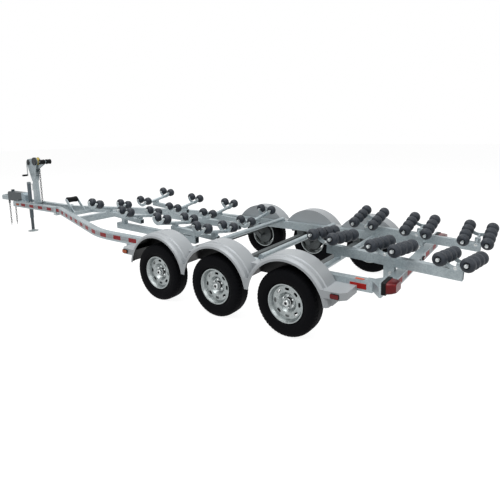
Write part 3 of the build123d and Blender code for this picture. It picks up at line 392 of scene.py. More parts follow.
@dataclass(frozen=True)
class ZincCoat(Finish):
    """Zinc on steel: crystals of slightly different greys under soft clouds of dull and bright."""

    light: str
    dark: str
    crystal: float = 0.012
    cloud: float = 0.16
    smooth: float = 0.30
    rough: float = 0.52
    metal: float = 0.75

    def paint(self, tree: bpy.types.NodeTree, shader: bpy.types.Node) -> None:
        """Cells and clouds share the tone, clouds set the roughness, cells give a faint relief."""
        place = add_node(tree, "TexCoord").outputs["Object"]
        cells = add_node(tree, "TexVoronoi", {"Vector": place, "Scale": 1 / self.crystal})
        clouds = add_node(tree, "TexNoise", {"Vector": place, "Scale": 1 / self.cloud, "Detail": 4.0})
        cell = add_node(tree, "SeparateColor", {"Color": cells.outputs["Color"]}).outputs["Red"]
        tone = add_node(tree, "Mix", {0: 0.55, 2: cell, 3: clouds.outputs["Fac"]}).outputs[0]
        relief = add_node(tree, "Bump", {"Strength": 0.12, "Distance": 0.0004, "Height": cell})
        feed(
            tree,
            shader,
            base_color=blended(tree, tone, srgb(self.dark), srgb(self.light)),
            roughness=ranged(tree, clouds.outputs["Fac"], self.smooth, self.rough),
            metallic=self.metal,
            normal=relief.outputs["Normal"],
        )


@dataclass(frozen=True)
class SatinPaint(Finish):
    """Sprayed paint with a fine flake: almost even, a little softer where it has dulled."""

    light: str
    dark: str
    flake: float = 0.003
    cloud: float = 0.4
    smooth: float = 0.28
    rough: float = 0.42
    metal: float = 0.35

    def paint(self, tree: bpy.types.NodeTree, shader: bpy.types.Node) -> None:
        """Flakes and wide clouds share the tone, and the flakes give an orange-peel relief."""
        place = add_node(tree, "TexCoord").outputs["Object"]
        flakes = add_node(tree, "TexNoise", {"Vector": place, "Scale": 1 / self.flake, "Detail": 2.0})
        clouds = add_node(tree, "TexNoise", {"Vector": place, "Scale": 1 / self.cloud, "Detail": 3.0})
        tone = add_node(tree, "Mix", {0: 0.6, 2: flakes.outputs["Fac"], 3: clouds.outputs["Fac"]}).outputs[0]
        peel = {"Strength": 0.08, "Distance": 0.0003, "Height": flakes.outputs["Fac"]}
        relief = add_node(tree, "Bump", peel)
        feed(
            tree,
            shader,
            base_color=self.coloured(tree, blended(tree, tone, srgb(self.dark), srgb(self.light))),
            roughness=ranged(tree, clouds.outputs["Fac"], self.smooth, self.rough),
            metallic=self.metal,
            normal=relief.outputs["Normal"],
        )

    def coloured(self, tree: bpy.types.NodeTree, paint: bpy.types.NodeSocket) -> bpy.types.NodeSocket:
        """Colour of the finished surface, here the paint's own."""
        return paint


@dataclass(frozen=True)
class FenderPaint(SatinPaint):
    """Satin paint outside a fender's arches, and painted shade in near black inside them."""

    # painted shade: near-black colour inside the arches, standing in for the shade that falls there
    painted_shade: str = "#101112"
    hub_y: float = 0.0  # Y of the middle wheels
    hub_z: float = 0.360
    pitch: float = 0.945
    sheet: float = 0.005
    inner_x: float = 1.010
    outer_x: float = 1.290
    band_x: tuple[float, float] = (1.205, 1.217)  # where the crown starts and ends its step down
    radii: tuple[float, float] = (0.512, 0.500)  # outside of the crown and of the band
    bevel: float = 0.024

    def coloured(self, tree: bpy.types.NodeTree, paint: bpy.types.NodeSocket) -> bpy.types.NodeSocket:
        """Painted shade where a point lies inside the middle of the sheet, seen from the nearest hub."""
        place = add_node(tree, "TexCoord").outputs["Object"]
        x, y, z = add_node(tree, "SeparateXYZ", {"Vector": place}).outputs
        across = joined(tree, "ABSOLUTE", x)
        ahead = joined(tree, "SUBTRACT", y, self.hub_y)
        wheel = joined(tree, "ROUND", joined(tree, "DIVIDE", ahead, self.pitch))
        wheel = joined(tree, "MINIMUM", joined(tree, "MAXIMUM", wheel, -1.0), 1.0)
        run = joined(tree, "SUBTRACT", ahead, joined(tree, "MULTIPLY", wheel, self.pitch))
        rise = joined(tree, "SUBTRACT", z, self.hub_z)
        squares = joined(tree, "ADD", joined(tree, "POWER", run, 2.0), joined(tree, "POWER", rise, 2.0))
        radius = joined(tree, "SQRT", squares)
        skin, (start, end) = self.sheet / 2, self.band_x
        crown, band = self.radii
        step = joined(tree, "DIVIDE", joined(tree, "SUBTRACT", across, start), end - start)
        shell = ranged(tree, step, crown - skin, band - skin)
        slant = joined(tree, "MAXIMUM", joined(tree, "SUBTRACT", across, self.outer_x - self.bevel), 0.0)
        # 1 inside the arches, where the painted shade goes
        under = joined(tree, "LESS_THAN", radius, joined(tree, "SUBTRACT", shell, slant))
        under = joined(tree, "MULTIPLY", under, joined(tree, "GREATER_THAN", across, self.inner_x + skin))
        under = joined(tree, "MULTIPLY", under, joined(tree, "LESS_THAN", across, self.outer_x - skin))
        return blended(tree, under, paint, srgb(self.painted_shade))


@dataclass(frozen=True)
class Rubber(Finish):
    """Moulded rubber: near black, with a grey bloom in patches and a fine pebbled skin."""

    dark: str
    bloom: str
    pebble: float = 0.004
    cloud: float = 0.09
    smooth: float = 0.45
    rough: float = 0.75
    gloss: float = 0.10

    def paint(self, tree: bpy.types.NodeTree, shader: bpy.types.Node) -> None:
        """Clouds carry the bloom and the roughness, pebbles the relief."""
        place = add_node(tree, "TexCoord").outputs["Object"]
        clouds = add_node(tree, "TexNoise", {"Vector": place, "Scale": 1 / self.cloud, "Detail": 5.0})
        pebbles = add_node(tree, "TexNoise", {"Vector": place, "Scale": 1 / self.pebble, "Detail": 2.0})
        skin = {"Strength": 0.2, "Distance": 0.0005, "Height": pebbles.outputs["Fac"]}
        relief = add_node(tree, "Bump", skin)
        feed(
            tree,
            shader,
            base_color=blended(tree, clouds.outputs["Fac"], srgb(self.dark), srgb(self.bloom)),
            roughness=ranged(tree, clouds.outputs["Fac"], self.smooth, self.rough),
            specular_ior_level=self.gloss,
            normal=relief.outputs["Normal"],
        )


@dataclass(frozen=True)
class Lens(Finish):
    """Moulded lamp lens: clear colour over fine prism ribs, glossy outside."""

    light: str
    dark: str
    rib: float = 0.008
    across: Axis = Axis.Z

    def paint(self, tree: bpy.types.NodeTree, shader: bpy.types.Node) -> None:
        """Ribs shade the colour and lift the surface, a clear coat keeps it glossy."""
        place = add_node(tree, "TexCoord").outputs["Object"]
        parts = add_node(tree, "SeparateXYZ", {"Vector": place}).outputs
        wave = joined(tree, "SINE", joined(tree, "MULTIPLY", parts[self.across.value], TURN / self.rib))
        share = add_node(tree, "MapRange", {"Value": wave, "From Min": -1.0}).outputs["Result"]
        relief = add_node(tree, "Bump", {"Strength": 0.35, "Distance": 0.001, "Height": share})
        feed(
            tree,
            shader,
            base_color=blended(tree, share, srgb(self.dark), srgb(self.light)),
            roughness=0.32,
            specular_ior_level=0.2,
            coat_weight=0.12,
            coat_roughness=0.1,
            normal=relief.outputs["Normal"],
        )


@dataclass(frozen=True)
class BlockTape(Finish):
    """Retroreflective tape: red and white blocks by length, with a net of small sealed cells."""

    first: str
    second: str
    pitch: float
    seal: str
    red_share: float = 0.48
    cell: float = 0.009

    def paint(self, tree: bpy.types.NodeTree, shader: bpy.types.Node) -> None:
        """The map's first part is metres along the tape: each pitch starts red and goes on white."""
        place = add_node(tree, "TexCoord").outputs["UV"]
        along = add_node(tree, "SeparateXYZ", {"Vector": place}).outputs["X"]
        part = joined(tree, "FLOORED_MODULO", along, self.pitch)
        white = joined(tree, "GREATER_THAN", part, self.pitch * self.red_share)
        net = {"Vector": place, "Scale": 1 / self.cell, "Randomness": 0.2}
        cells = add_node(tree, "TexVoronoi", net, feature="DISTANCE_TO_EDGE").outputs["Distance"]
        seal = add_node(tree, "MapRange", {"Value": cells, "From Max": 0.05}).outputs["Result"]
        block = blended(tree, white, srgb(self.first), srgb(self.second))
        colour = blended(tree, seal, srgb(self.seal), block)
        dull = ranged(tree, seal, 0.6, 0.45)
        feed(tree, shader, base_color=colour, roughness=dull, specular_ior_level=0.2)


@dataclass(frozen=True)
class Webbing(Finish):
    """Woven strap: ribs across its width crossed by fine threads along it."""

    light: str
    dark: str
    rib: float = 0.004
    thread: float = 0.0025

    def paint(self, tree: bpy.types.NodeTree, shader: bpy.types.Node) -> None:
        """Sines of the map's two parts, metres along and across, multiply into a weave."""
        place = add_node(tree, "TexCoord").outputs["UV"]
        parts = add_node(tree, "SeparateXYZ", {"Vector": place}).outputs
        along, across = (
            joined(tree, "SINE", joined(tree, "MULTIPLY", parts[name], TURN / size))
            for name, size in (("X", self.rib), ("Y", self.thread))
        )
        weave = joined(tree, "MULTIPLY", along, across)
        share = add_node(tree, "MapRange", {"Value": weave, "From Min": -1.0}).outputs["Result"]
        relief = add_node(tree, "Bump", {"Strength": 0.5, "Distance": 0.0008, "Height": share})
        feed(
            tree,
            shader,
            base_color=blended(tree, share, srgb(self.dark), srgb(self.light)),
            roughness=0.8,
            sheen_weight=0.2,
            normal=relief.outputs["Normal"],
        )


@dataclass(frozen=True)
class TwoTonePaint(Finish):
    """Enamel in two colours that meet on a line across the piece, chipped a little in patches."""

    front: str
    back: str
    meets: float
    chip: str
    patch: float = 0.05
    along: Axis = Axis.Y

    def paint(self, tree: bpy.types.NodeTree, shader: bpy.types.Node) -> None:
        """Beyond the meeting line the front colour shows, and the top of a noise shows the chips."""
        place = add_node(tree, "TexCoord").outputs["Object"]
        along = add_node(tree, "SeparateXYZ", {"Vector": place}).outputs[self.along.value]
        ahead = joined(tree, "GREATER_THAN", along, self.meets)
        noise = add_node(tree, "TexNoise", {"Vector": place, "Scale": 1 / self.patch, "Detail": 6.0})
        peaks = {"Value": noise.outputs["Fac"], "From Min": 0.62, "From Max": 0.72, "To Max": 0.6}
        chips = add_node(tree, "MapRange", peaks)
        paint = blended(tree, ahead, srgb(self.back), srgb(self.front))
        feed(
            tree,
            shader,
            base_color=blended(tree, chips.outputs["Result"], paint, srgb(self.chip)),
            roughness=ranged(tree, noise.outputs["Fac"], 0.3, 0.55),
            metallic=0.15,
        )


ACTUATOR_SPLIT = 6.70  # station where the actuator's dark front housing meets its pale rear body
JACK_CAP_Z = 1.060  # height where the jack's cap starts
JACK_FOOT_Z = 0.040  # height where the jack's foot ends

# Hot-dip galvanised steel gives the frame its grey with a cool cast and a faint crystal pattern
GALVANISED = ZincCoat("hot_dip_galvanised", "#b9c3c5", "#87939a", smooth=0.34, rough=0.54, metal=0.62)
# Galvanised wheels are the same coat, a little brighter and more worn
GALVANISED_RIM = ZincCoat(
    "galvanised_wheel", "#b2b8b8", "#747b7c", crystal=0.009, cloud=0.07, smooth=0.24, rough=0.42, metal=0.85
)
# Bright zinc plate gives fasteners and hubs a white metal glint
ZINC_PLATE = ZincCoat(
    "bright_zinc_plate", "#d2d5d5", "#a9aeaf", crystal=0.004, smooth=0.2, rough=0.34, metal=0.9
)
# Axles are galvanised but dull and shaded by road dirt
DULL_ZINC = ZincCoat("dull_galvanised", "#5d6263", "#3d4243", smooth=0.45, rough=0.65, metal=0.4)
# Chains and the winch gear are plain steel, dark and dulled by weather
CHAIN_STEEL = ZincCoat(
    "weathered_chain", "#3a3e41", "#1d2022", crystal=0.004, smooth=0.4, rough=0.6, metal=0.4
)
# Cast drums are nearly black with a brown-grey bloom
CAST_IRON = Rubber("cast_iron_drum", "#1b1d1f", "#2e3031", pebble=0.003, cloud=0.05, smooth=0.5, rough=0.7)
# Fender steel is sprayed satin silver outside, with painted shade in near black inside the arches
FENDER_SILVER = FenderPaint(
    "satin_silver_paint", "#aaaeb1", "#989da0", smooth=0.36, rough=0.5, metal=0.2, hub_y=AXLE_Y
)
# Road rubber of the tyres is black with a faint grey bloom
TYRE_RUBBER = Rubber("tyre_rubber", "#050507", "#0c0d10", smooth=0.6, rough=0.85, gloss=0.06)
# Hull rollers are a bluish charcoal rubber with a satin skin
ROLLER_RUBBER = Rubber(
    "roller_rubber", "#15191f", "#333a43", cloud=0.05, smooth=0.42, rough=0.62, gloss=0.34
)
# Bow rollers, grips and caps are black
BLACK_RUBBER = Rubber("black_rubber", "#0e0f10", "#1c1d1f", cloud=0.06, smooth=0.4, rough=0.6)
# Tail and marker lenses are red, side lenses amber
RED_LENS = Lens("red_lamp_lens", "#86080f", "#460409")
AMBER_LENS = Lens("amber_lamp_lens", "#cf5f12", "#8a3606")
# Block reflectors are a brighter red and orange with upright ribs
RED_BLOCK = Lens("red_block_reflector", "#c01c12", "#8a100c", rib=0.010, across=Axis.Y)
ORANGE_BLOCK = Lens("orange_block_reflector", "#e05a1c", "#a83c10", rib=0.010, across=Axis.Y)
# Conspicuity tape in red and white blocks
TAPE = BlockTape("red_white_tape", "#980d14", "#b4babe", pitch=0.343, seal="#6e5c5e")
# Yellow polyester winch strap
STRAP = Webbing("yellow_webbing", "#d2bd62", "#a08c3c")
# Brake actuator: pale blue-grey body with a dark front housing
ACTUATOR_PAINT = TwoTonePaint("two_tone_enamel", "#2f3a3f", "#9fb0b9", at(ACTUATOR_SPLIT), "#6d7274")
# The jack's tube is dark grey enamel with a lighter cap
JACK_ENAMEL = TwoTonePaint("jack_enamel", "#8b9498", "#59636a", JACK_CAP_Z, "#7d8386", along=Axis.Z)
# The jack's leg is dark steel above a pale zinc foot
LEG_ENAMEL = TwoTonePaint("leg_enamel", "#454d52", "#aab4b6", JACK_FOOT_Z, "#6d7274", along=Axis.Z)


# Meshes


@dataclass
class Skin:
    """One piece of the scene, gathered from closed grids of points.

    Attributes:
        name: the piece's name.
        points: blocks of points.
        quads: blocks of point numbers.
        maps: blocks of map places, one for each quad's corner.
        count: number of points so far.
    """

    name: str
    points: list[Array] = field(default_factory=list)
    quads: list[Array] = field(default_factory=list)
    maps: list[Array] = field(default_factory=list)
    count: int = 0

    def add(
        self,
        grids: Array,
        round_rows: bool = False,
        round_columns: bool = True,
        lengths: tuple[Array, Array] | None = None,
    ) -> "Skin":
        """Add one grid (rows, columns, 3) or several copies of a grid (copies, rows, columns, 3).

        Args:
            grids: the points.
            round_rows: True where the last row joins the first.
            round_columns: True where the last column joins the first.
            lengths: map values of the rows and of the columns, one more of each where they go round.

        Returns:
            This piece, for the next call.
        """
        grids = grids.reshape(-1, *grids.shape[-3:])
        copies, rows, columns, _ = grids.shape
        quads, cells = grid_quads(rows, columns, round_rows, round_columns)
        offsets = self.count + np.arange(copies)[:, None, None] * rows * columns
        along, across = lengths or (np.arange(rows + 1.0), np.arange(columns + 1.0))
        places = np.stack([along[cells[..., 0]], across[cells[..., 1]]], axis=-1)
        self.points.append(grids.reshape(-1, 3))
        self.quads.append((quads + offsets).reshape(-1, 4))
        self.maps.append(np.tile(places.reshape(-1, 2), (copies, 1)))
        self.count += copies * rows * columns
        return self

    def build(
        self,
        body: str,
        finish: Finish,
        slot: Slot,
        replaces: Iterable[str] = (),
        crease: float = 40.0,
    ) -> bpy.types.Object:
        """Make the object, close its seams, dress it and set it on its body.

        Args:
            body: name of the body that carries it.
            finish: its finish.
            slot: not used.
            replaces: CAD nodes that it stands for.
            crease: edges sharper than this angle in degrees stay sharp.

        Returns:
            The new object.
        """
        mesh = bpy.data.meshes.new(self.name)
        mesh.from_pydata(np.concatenate(self.points).tolist(), [], np.concatenate(self.quads).tolist())
        mesh.uv_layers.new(name="Lengths").data.foreach_set("uv", np.concatenate(self.maps).ravel())
        shape = bmesh.new()
        shape.from_mesh(mesh)
        bmesh.ops.remove_doubles(shape, verts=shape.verts, dist=1e-6)
        bmesh.ops.recalc_face_normals(shape, faces=shape.faces)
        shape.to_mesh(mesh)
        shape.free()
        mesh.shade_smooth()
        mesh.set_sharp_from_angle(angle=np.radians(crease))
        mesh.materials.append(finish.material())
        made = bpy.data.objects.new(self.name, mesh)
        bpy.context.scene.collection.objects.link(made)
        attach(made, body)
        if replaces:
            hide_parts(*replaces)
        LOG.info("%s: %d faces on %s", self.name, len(mesh.polygons), body)
        return made


# Sub-assemblies


@dataclass
class Wheels:
    """Tyres with tread, wheel nuts and hub caps on the six wheels."""

    rim_radius: float = 0.2085
    crown_power: float = 5.0  # flat tread
    wall_power: float = 2.2  # round sidewall
    groove_depth: float = 0.006
    groove_half: float = 0.0045
    grooves: tuple[float, ...] = (-0.052, -0.018, 0.018, 0.052)
    notch_from: float = 0.060
    notch_depth: float = 0.005
    notch_level: float = 0.35  # sine above which the shoulder is notched
    tread_from: float = 0.3  # sine of the section's angle where the tread starts
    wall_from: float = 0.25  # cosine of the section's angle where the sidewall starts
    pitches: int = 54
    rib_height: float = 0.0022
    rib_radii: tuple[float, ...] = (0.232, 0.262, 0.318)
    rib_half: float = 0.0035
    nuts: int = 6
    nut_ring: float = 0.066
    nut_flat: float = 0.0125
    nut_length: float = 0.026
    # height as a share of the length, radius as one of the flat's, and whether the row is hexagonal
    nut_profile: tuple = (
        (0.0, 0.0, False),
        (0.0, 1.3, False),
        (0.15, 1.3, False),
        (0.15, 1.0, True),
        (0.7, 1.0, True),
        (0.75, 0.95, False),
        (0.95, 0.6, False),
        (1.0, 0.0, False),
    )
    disc_face: float = 0.012
    cap_radius: float = 0.0352
    cap_from: float = 0.030
    cap_to: float = 0.0795
    cap_rim: float = 0.003  # the rolled rim's lift over the wall
    cap_rim_width: float = 0.006
    cap_rim_slope: float = 0.002
    cap_round: float = 0.6  # share of the shoulder's width that is rounded
    plug_radius: float = 0.017
    plug_height: float = 0.004
    plug_sunk: float = 0.001

    def tyre(self, width: float, radius: float) -> Array:
        """Tyre about the X axis: a superellipse section turned round, with grooves and notches pressed in.

        The section is x = a c^(2/n), r = m + b s^(2/k), with c and s the cosine and sine of its angle.
        Bell curves lower the radius at the grooves, a square wave by angle at the shoulders,
        and bell curves in radius lift the sidewalls' rings.

        Args:
            width: overall width.
            radius: outer radius.

        Returns:
            Grid of points (angles, section, 3).
        """
        t = np.linspace(0, TURN, 132, endpoint=False)
        half, middle = width / 2, (radius + self.rim_radius) / 2
        c, s = np.cos(t), np.sin(t)
        x = half * np.sign(c) * np.abs(c) ** (2 / self.crown_power)
        r = middle + (radius - middle) * np.sign(s) * np.abs(s) ** (2 / self.wall_power)
        rings = sum(np.exp(-(((r - k) / self.rib_half) ** 2)) for k in self.rib_radii)
        x = x - np.sign(x) * self.rib_height * (1 - np.clip(rings, 0, 1)) * (np.abs(c) > self.wall_from)
        tread = (s > self.tread_from).astype(float)
        pressed = sum(np.exp(-(((x - k) / self.groove_half) ** 4)) for k in self.grooves)
        turn = np.linspace(0, TURN, 4 * self.pitches, endpoint=False)
        gap = (np.sin(self.pitches * turn) > self.notch_level).astype(float)
        shoulder = tread * (np.abs(x) > self.notch_from)
        depth = self.groove_depth * tread * pressed + self.notch_depth * shoulder * gap[:, None]
        grown = r - depth
        around = np.stack([np.cos(turn), np.sin(turn)], axis=-1)
        along = np.broadcast_to(x, grown.shape)
        return np.stack([along, grown * around[:, :1], grown * around[:, 1:]], axis=-1)

    def nut(self) -> Array:
        """Wheel nut about the X axis: a round seat, a hexagon and a domed end."""
        table = np.array(self.nut_profile)
        return turned(table[:, :2] * (self.nut_length, self.nut_flat), 18, table[:, 2] > 0)

    def cap(self) -> Array:
        """Dust cap about the X axis: a rolled rim, a straight wall and a quarter-round shoulder."""
        turn = np.linspace(0, TURN / 4, 7)
        soft = (self.cap_radius - self.plug_radius) * self.cap_round
        lip, rolled = self.cap_radius + self.cap_rim, self.cap_from + self.cap_rim_width
        shoulder = np.stack(
            [self.cap_to - soft * (1 - np.sin(turn)), self.cap_radius - soft * (1 - np.cos(turn))], axis=-1
        )
        rim = [(self.cap_from, 0.0), (self.cap_from, lip)]
        wall = [(rolled, lip), (rolled + self.cap_rim_slope, self.cap_radius)]
        top = [(self.cap_to, self.plug_radius), (self.cap_to, 0.0)]
        return turned(np.concatenate([rim, wall, shoulder, top]), 28)

    def plug(self) -> Array:
        """Rubber plug about the X axis: a low dome, h cos t high at a radius of r sin t."""
        turn = np.linspace(0, TURN / 4, 6)
        rise, foot_x = self.cap_to + self.plug_height * np.cos(turn), self.cap_to - self.plug_sunk
        dome = np.stack([rise, self.plug_radius * np.sin(turn)], axis=-1)
        foot = [(foot_x, self.plug_radius), (foot_x, 0.0)]
        return turned(np.concatenate([dome, foot]), 20)

    def build(self) -> None:
        """Replace each tyre, and put the nuts and the hub cap on each disc."""
        for tag in WHEEL_TAGS:
            side = -1.0 if tag[0] == "l" else 1.0
            low, high = node_box(f"tyre_{tag}")
            middle = (low + high) / 2
            tyre = Skin(f"tyre_tread_{tag}")
            tyre.add(self.tyre(high[0] - low[0], (high[2] - low[2]) / 2) + middle, round_rows=True)
            tyre.build(f"wheel_{tag}", TYRE_RUBBER, Slot.TYRE, (f"tyre_{tag}",), crease=50.0)
            angle = (np.arange(self.nuts) + 0.5) * TURN / self.nuts
            face = np.full(self.nuts, side * self.disc_face)
            ring = np.column_stack([face, self.nut_ring * np.cos(angle), self.nut_ring * np.sin(angle)])
            outward = aimed((side, 0, 0))[None]
            nuts = placed(self.nut(), np.repeat(outward, self.nuts, axis=0), middle + ring)
            bright = Skin(f"wheel_nuts_{tag}").add(nuts).add(placed(self.cap(), outward, middle[None]))
            bright.build(f"wheel_{tag}", ZINC_PLATE, Slot.ZINC)
            plug = Skin(f"hub_plug_{tag}").add(placed(self.plug(), outward, middle[None]))
            plug.build(f"wheel_{tag}", BLACK_RUBBER, Slot.ROLLER)


@dataclass
class HullRoller:
    """One hull roller: a bead with a groove round its middle, a ring recess in each end and a metal bush."""

    radius: float = 0.068
    width: float = 0.104
    drop: float = 0.034  # from the crown to the end face's rim
    round_power: float = 3.4
    groove_depth: float = 0.0025
    groove_half: float = 0.005
    recess_out: float = 0.033
    recess_in: float = 0.020
    recess_depth: float = 0.014
    recess_draft: tuple[float, float] = (0.002, 0.001)  # lean of the recess's outer and inner wall
    shaft: float = 0.0103
    bush_lip: float = 0.003
    bush_gap: float = 0.001  # between bush and rubber
    bush_bevel: float = 0.002

    def barrel(self) -> Array:
        """Rubber about the X axis: r = R - drop |2x/w|^p less a bell curve at the groove, ends recessed."""
        end = self.width / 2
        x = np.linspace(-end, end, 33)
        groove = self.groove_depth * np.exp(-((x / self.groove_half) ** 2))
        r = self.radius - self.drop * np.abs(x / end) ** self.round_power - groove
        outer_draft, inner_draft = self.recess_draft
        face = np.array(
            [
                (end, self.recess_out),
                (end - self.recess_depth, self.recess_out - outer_draft),
                (end - self.recess_depth, self.recess_in + inner_draft),
                (end, self.recess_in),
                (end, self.shaft),
            ]
        )
        back = face[::-1] * (-1, 1)
        return turned(np.concatenate([back, np.stack([x, r], axis=-1), face]), 28)

    def bushes(self) -> Array:
        """Two metal bushes about the X axis, each a ring round the shaft that stands out of the end face."""
        end, radius = self.width / 2, self.recess_in - self.bush_gap
        ring = np.array(
            [
                (end - self.recess_depth, self.shaft),
                (end + self.bush_lip, self.shaft),
                (end + self.bush_lip, radius - self.bush_bevel),
                (end, radius),
                (end - self.recess_depth, radius),
            ]
        )
        return np.stack([turned(ring, 20), turned(ring * (-1, 1), 20)])

    def build(self, row: str, turns: Array, spots: Array) -> None:
        """Replace one row of CAD rollers and add their bushes.

        Args:
            row: front or rear, as in the names of the nodes and pieces.
            turns: rotations (rollers, 3, 3).
            spots: middles (rollers, 3).
        """
        rubber = Skin(f"{row}_hull_rollers").add(placed(self.barrel(), turns, spots))
        rubber.build(Body.FRAME.value, ROLLER_RUBBER, Slot.ROLLER, (f"{row}_rollers",))
        bushes = Skin(f"{row}_roller_bushes")
        for bush in self.bushes():
            bushes.add(placed(bush, turns, spots), round_rows=True)
        bushes.build(Body.FRAME.value, ZINC_PLATE, Slot.ZINC)


@dataclass
class FrontCradle:
    """Roller pairs of the four front arms on each side."""

    arm_x: float = 0.490
    arm_tilt: float = 9.5
    walks: tuple = (((2.934, 0.151), (2.198, 0.090)), ((1.415, 0.060), (0.658, 0.015)))  # station, height
    arm_lift: float = 0.080
    pair_x: float = 0.270
    pair_y: float = 0.100
    pair_lift: float = 0.072
    plate_out: float = 0.069  # rocker plate's outer face from the roller's middle
    roller: HullRoller = field(default_factory=HullRoller)

    def arms(self) -> tuple[Array, Array]:
        """Turns (arms, 3, 3) and middles (arms, 3) of the arms."""
        turns, spots = [], []
        for (y1, up1), (y0, up0) in self.walks:
            pitch = np.degrees(np.arctan2(up1 - up0, y1 - y0))
            lift = pitched(pitch) @ (0, 0, self.arm_lift)
            for y, up in ((y1, up1), (y0, up0)):
                for side in SIDES:
                    turns.append(pitched(pitch) @ banked(-side * self.arm_tilt))
                    spots.append(lift + (side * self.arm_x, at(y), RAIL_TOP + up))
        return np.array(turns), np.array(spots)

    def build(self) -> None:
        """Replace the rollers and add their bushes and shaft nuts."""
        turns, middles = self.arms()
        pairs = np.array([(p * self.pair_x, s * self.pair_y, self.pair_lift) for p in SIDES for s in SIDES])
        spots = (middles[:, None, :] + np.einsum("nij,kj->nki", turns, pairs)).reshape(-1, 3)
        spins = np.repeat(turns, len(pairs), axis=0)
        self.roller.build("front", spins, spots)
        ends = Fasteners("front_shaft_nuts", size=SHAFT_NUT)
        for end in SIDES:
            ends.put(spots + end * self.plate_out * spins[:, :, 0], end * spins[:, :, 0])
        ends.build()


@dataclass
class RearCradle:
    """Roller rows of the three tilting cradles on each side."""

    bunk_x: float = 0.565
    slope: float = 3.0
    rest: tuple = ((-1.0, 5.0, -7.0), (1.0, -12.5, 0.0))  # side, bank and swing in degrees
    stations: tuple[float, ...] = (-1.140, -1.798, -2.459)
    bunk_front: float = -1.090
    bunk_up: float = 0.087
    bunk_height: float = 0.100
    pivot_lift: float = 0.036
    pitch: float = 0.142
    row_y: float = 0.125
    row_lift: float = 0.070
    shaft_end: float = 0.284
    pivot_end: float = 0.147
    roller: HullRoller = field(default_factory=HullRoller)

    def pivots(self) -> tuple[Array, Array]:
        """Turns (cradles, 3, 3) and pivots (cradles, 3) of the cradles."""
        turns, spots = [], []
        lift = pitched(self.slope) @ (0, 0, self.bunk_height + self.pivot_lift)
        for station in self.stations:
            low = RAIL_TOP + self.bunk_up + (station - self.bunk_front) * np.tan(np.radians(self.slope))
            for side, bank, swing in self.rest:
                turns.append(pitched(self.slope) @ banked(bank) @ swung(swing))
                spots.append(lift + (side * self.bunk_x, at(station), low))
        return np.array(turns), np.array(spots)

    def build(self) -> None:
        """Replace the rollers and add their bushes and the nuts on shafts and pivots."""
        turns, pivots = self.pivots()
        rows = [(k * self.pitch / 2, s * self.row_y, self.row_lift) for s in SIDES for k in (-3, -1, 1, 3)]
        spots = (pivots[:, None, :] + np.einsum("nij,kj->nki", turns, np.array(rows))).reshape(-1, 3)
        spins = np.repeat(turns, len(rows), axis=0)
        self.roller.build("rear", spins, spots)
        ends = Fasteners("rear_shaft_nuts", size=SHAFT_NUT)
        for end in SIDES:
            axis = end * turns[:, :, 0]
            for row in SIDES:
                spot = np.array((end * self.shaft_end, row * self.row_y, self.row_lift))
                ends.put(pivots + np.einsum("nij,j->ni", turns, spot), axis)
            ends.put(pivots + self.pivot_end * axis, axis)
        ends.build()


@dataclass
class Fasteners:
    """Hexagon heads on washers, gathered from spots and directions into one piece."""

    name: str
    size: float  # across the flats
    # height and radius in halves of the size, and whether the row is hexagonal
    profile: tuple = (
        (-0.10, 0.0, False),
        (-0.10, 2.0, False),
        (0.22, 2.0, False),
        (0.22, 1.0, True),
        (1.15, 1.0, True),
        (1.30, 0.8, False),
        (1.30, 0.0, False),
    )
    spots: list[Array] = field(default_factory=list)
    turns: list[Array] = field(default_factory=list)

    def head(self) -> Array:
        """Washer and hexagon head about the X axis: the stepped profile turned, hexagonal at the head."""
        table = np.array(self.profile)
        return turned(table[:, :2] * self.size / 2, 12, table[:, 2] > 0)

    def put(self, spots: Array | Sequence, axes: Array | Sequence) -> "Fasteners":
        """Add heads that stand on spots (n, 3), each along its axis, or all along one axis.

        Args:
            spots: places on the surface.
            axes: outward directions.

        Returns:
            This set, for the next call.
        """
        spots = np.atleast_2d(np.asarray(spots, float))
        axes = np.broadcast_to(np.asarray(axes, float), spots.shape)
        self.spots.append(spots)
        self.turns.append(np.array([aimed(axis) for axis in axes]))
        return self

    def build(self, body: Body = Body.FRAME) -> None:
        """Make the piece."""
        heads = placed(self.head(), np.concatenate(self.turns), np.concatenate(self.spots))
        Skin(self.name).add(heads).build(body.value, ZINC_PLATE, Slot.ZINC, crease=30.0)


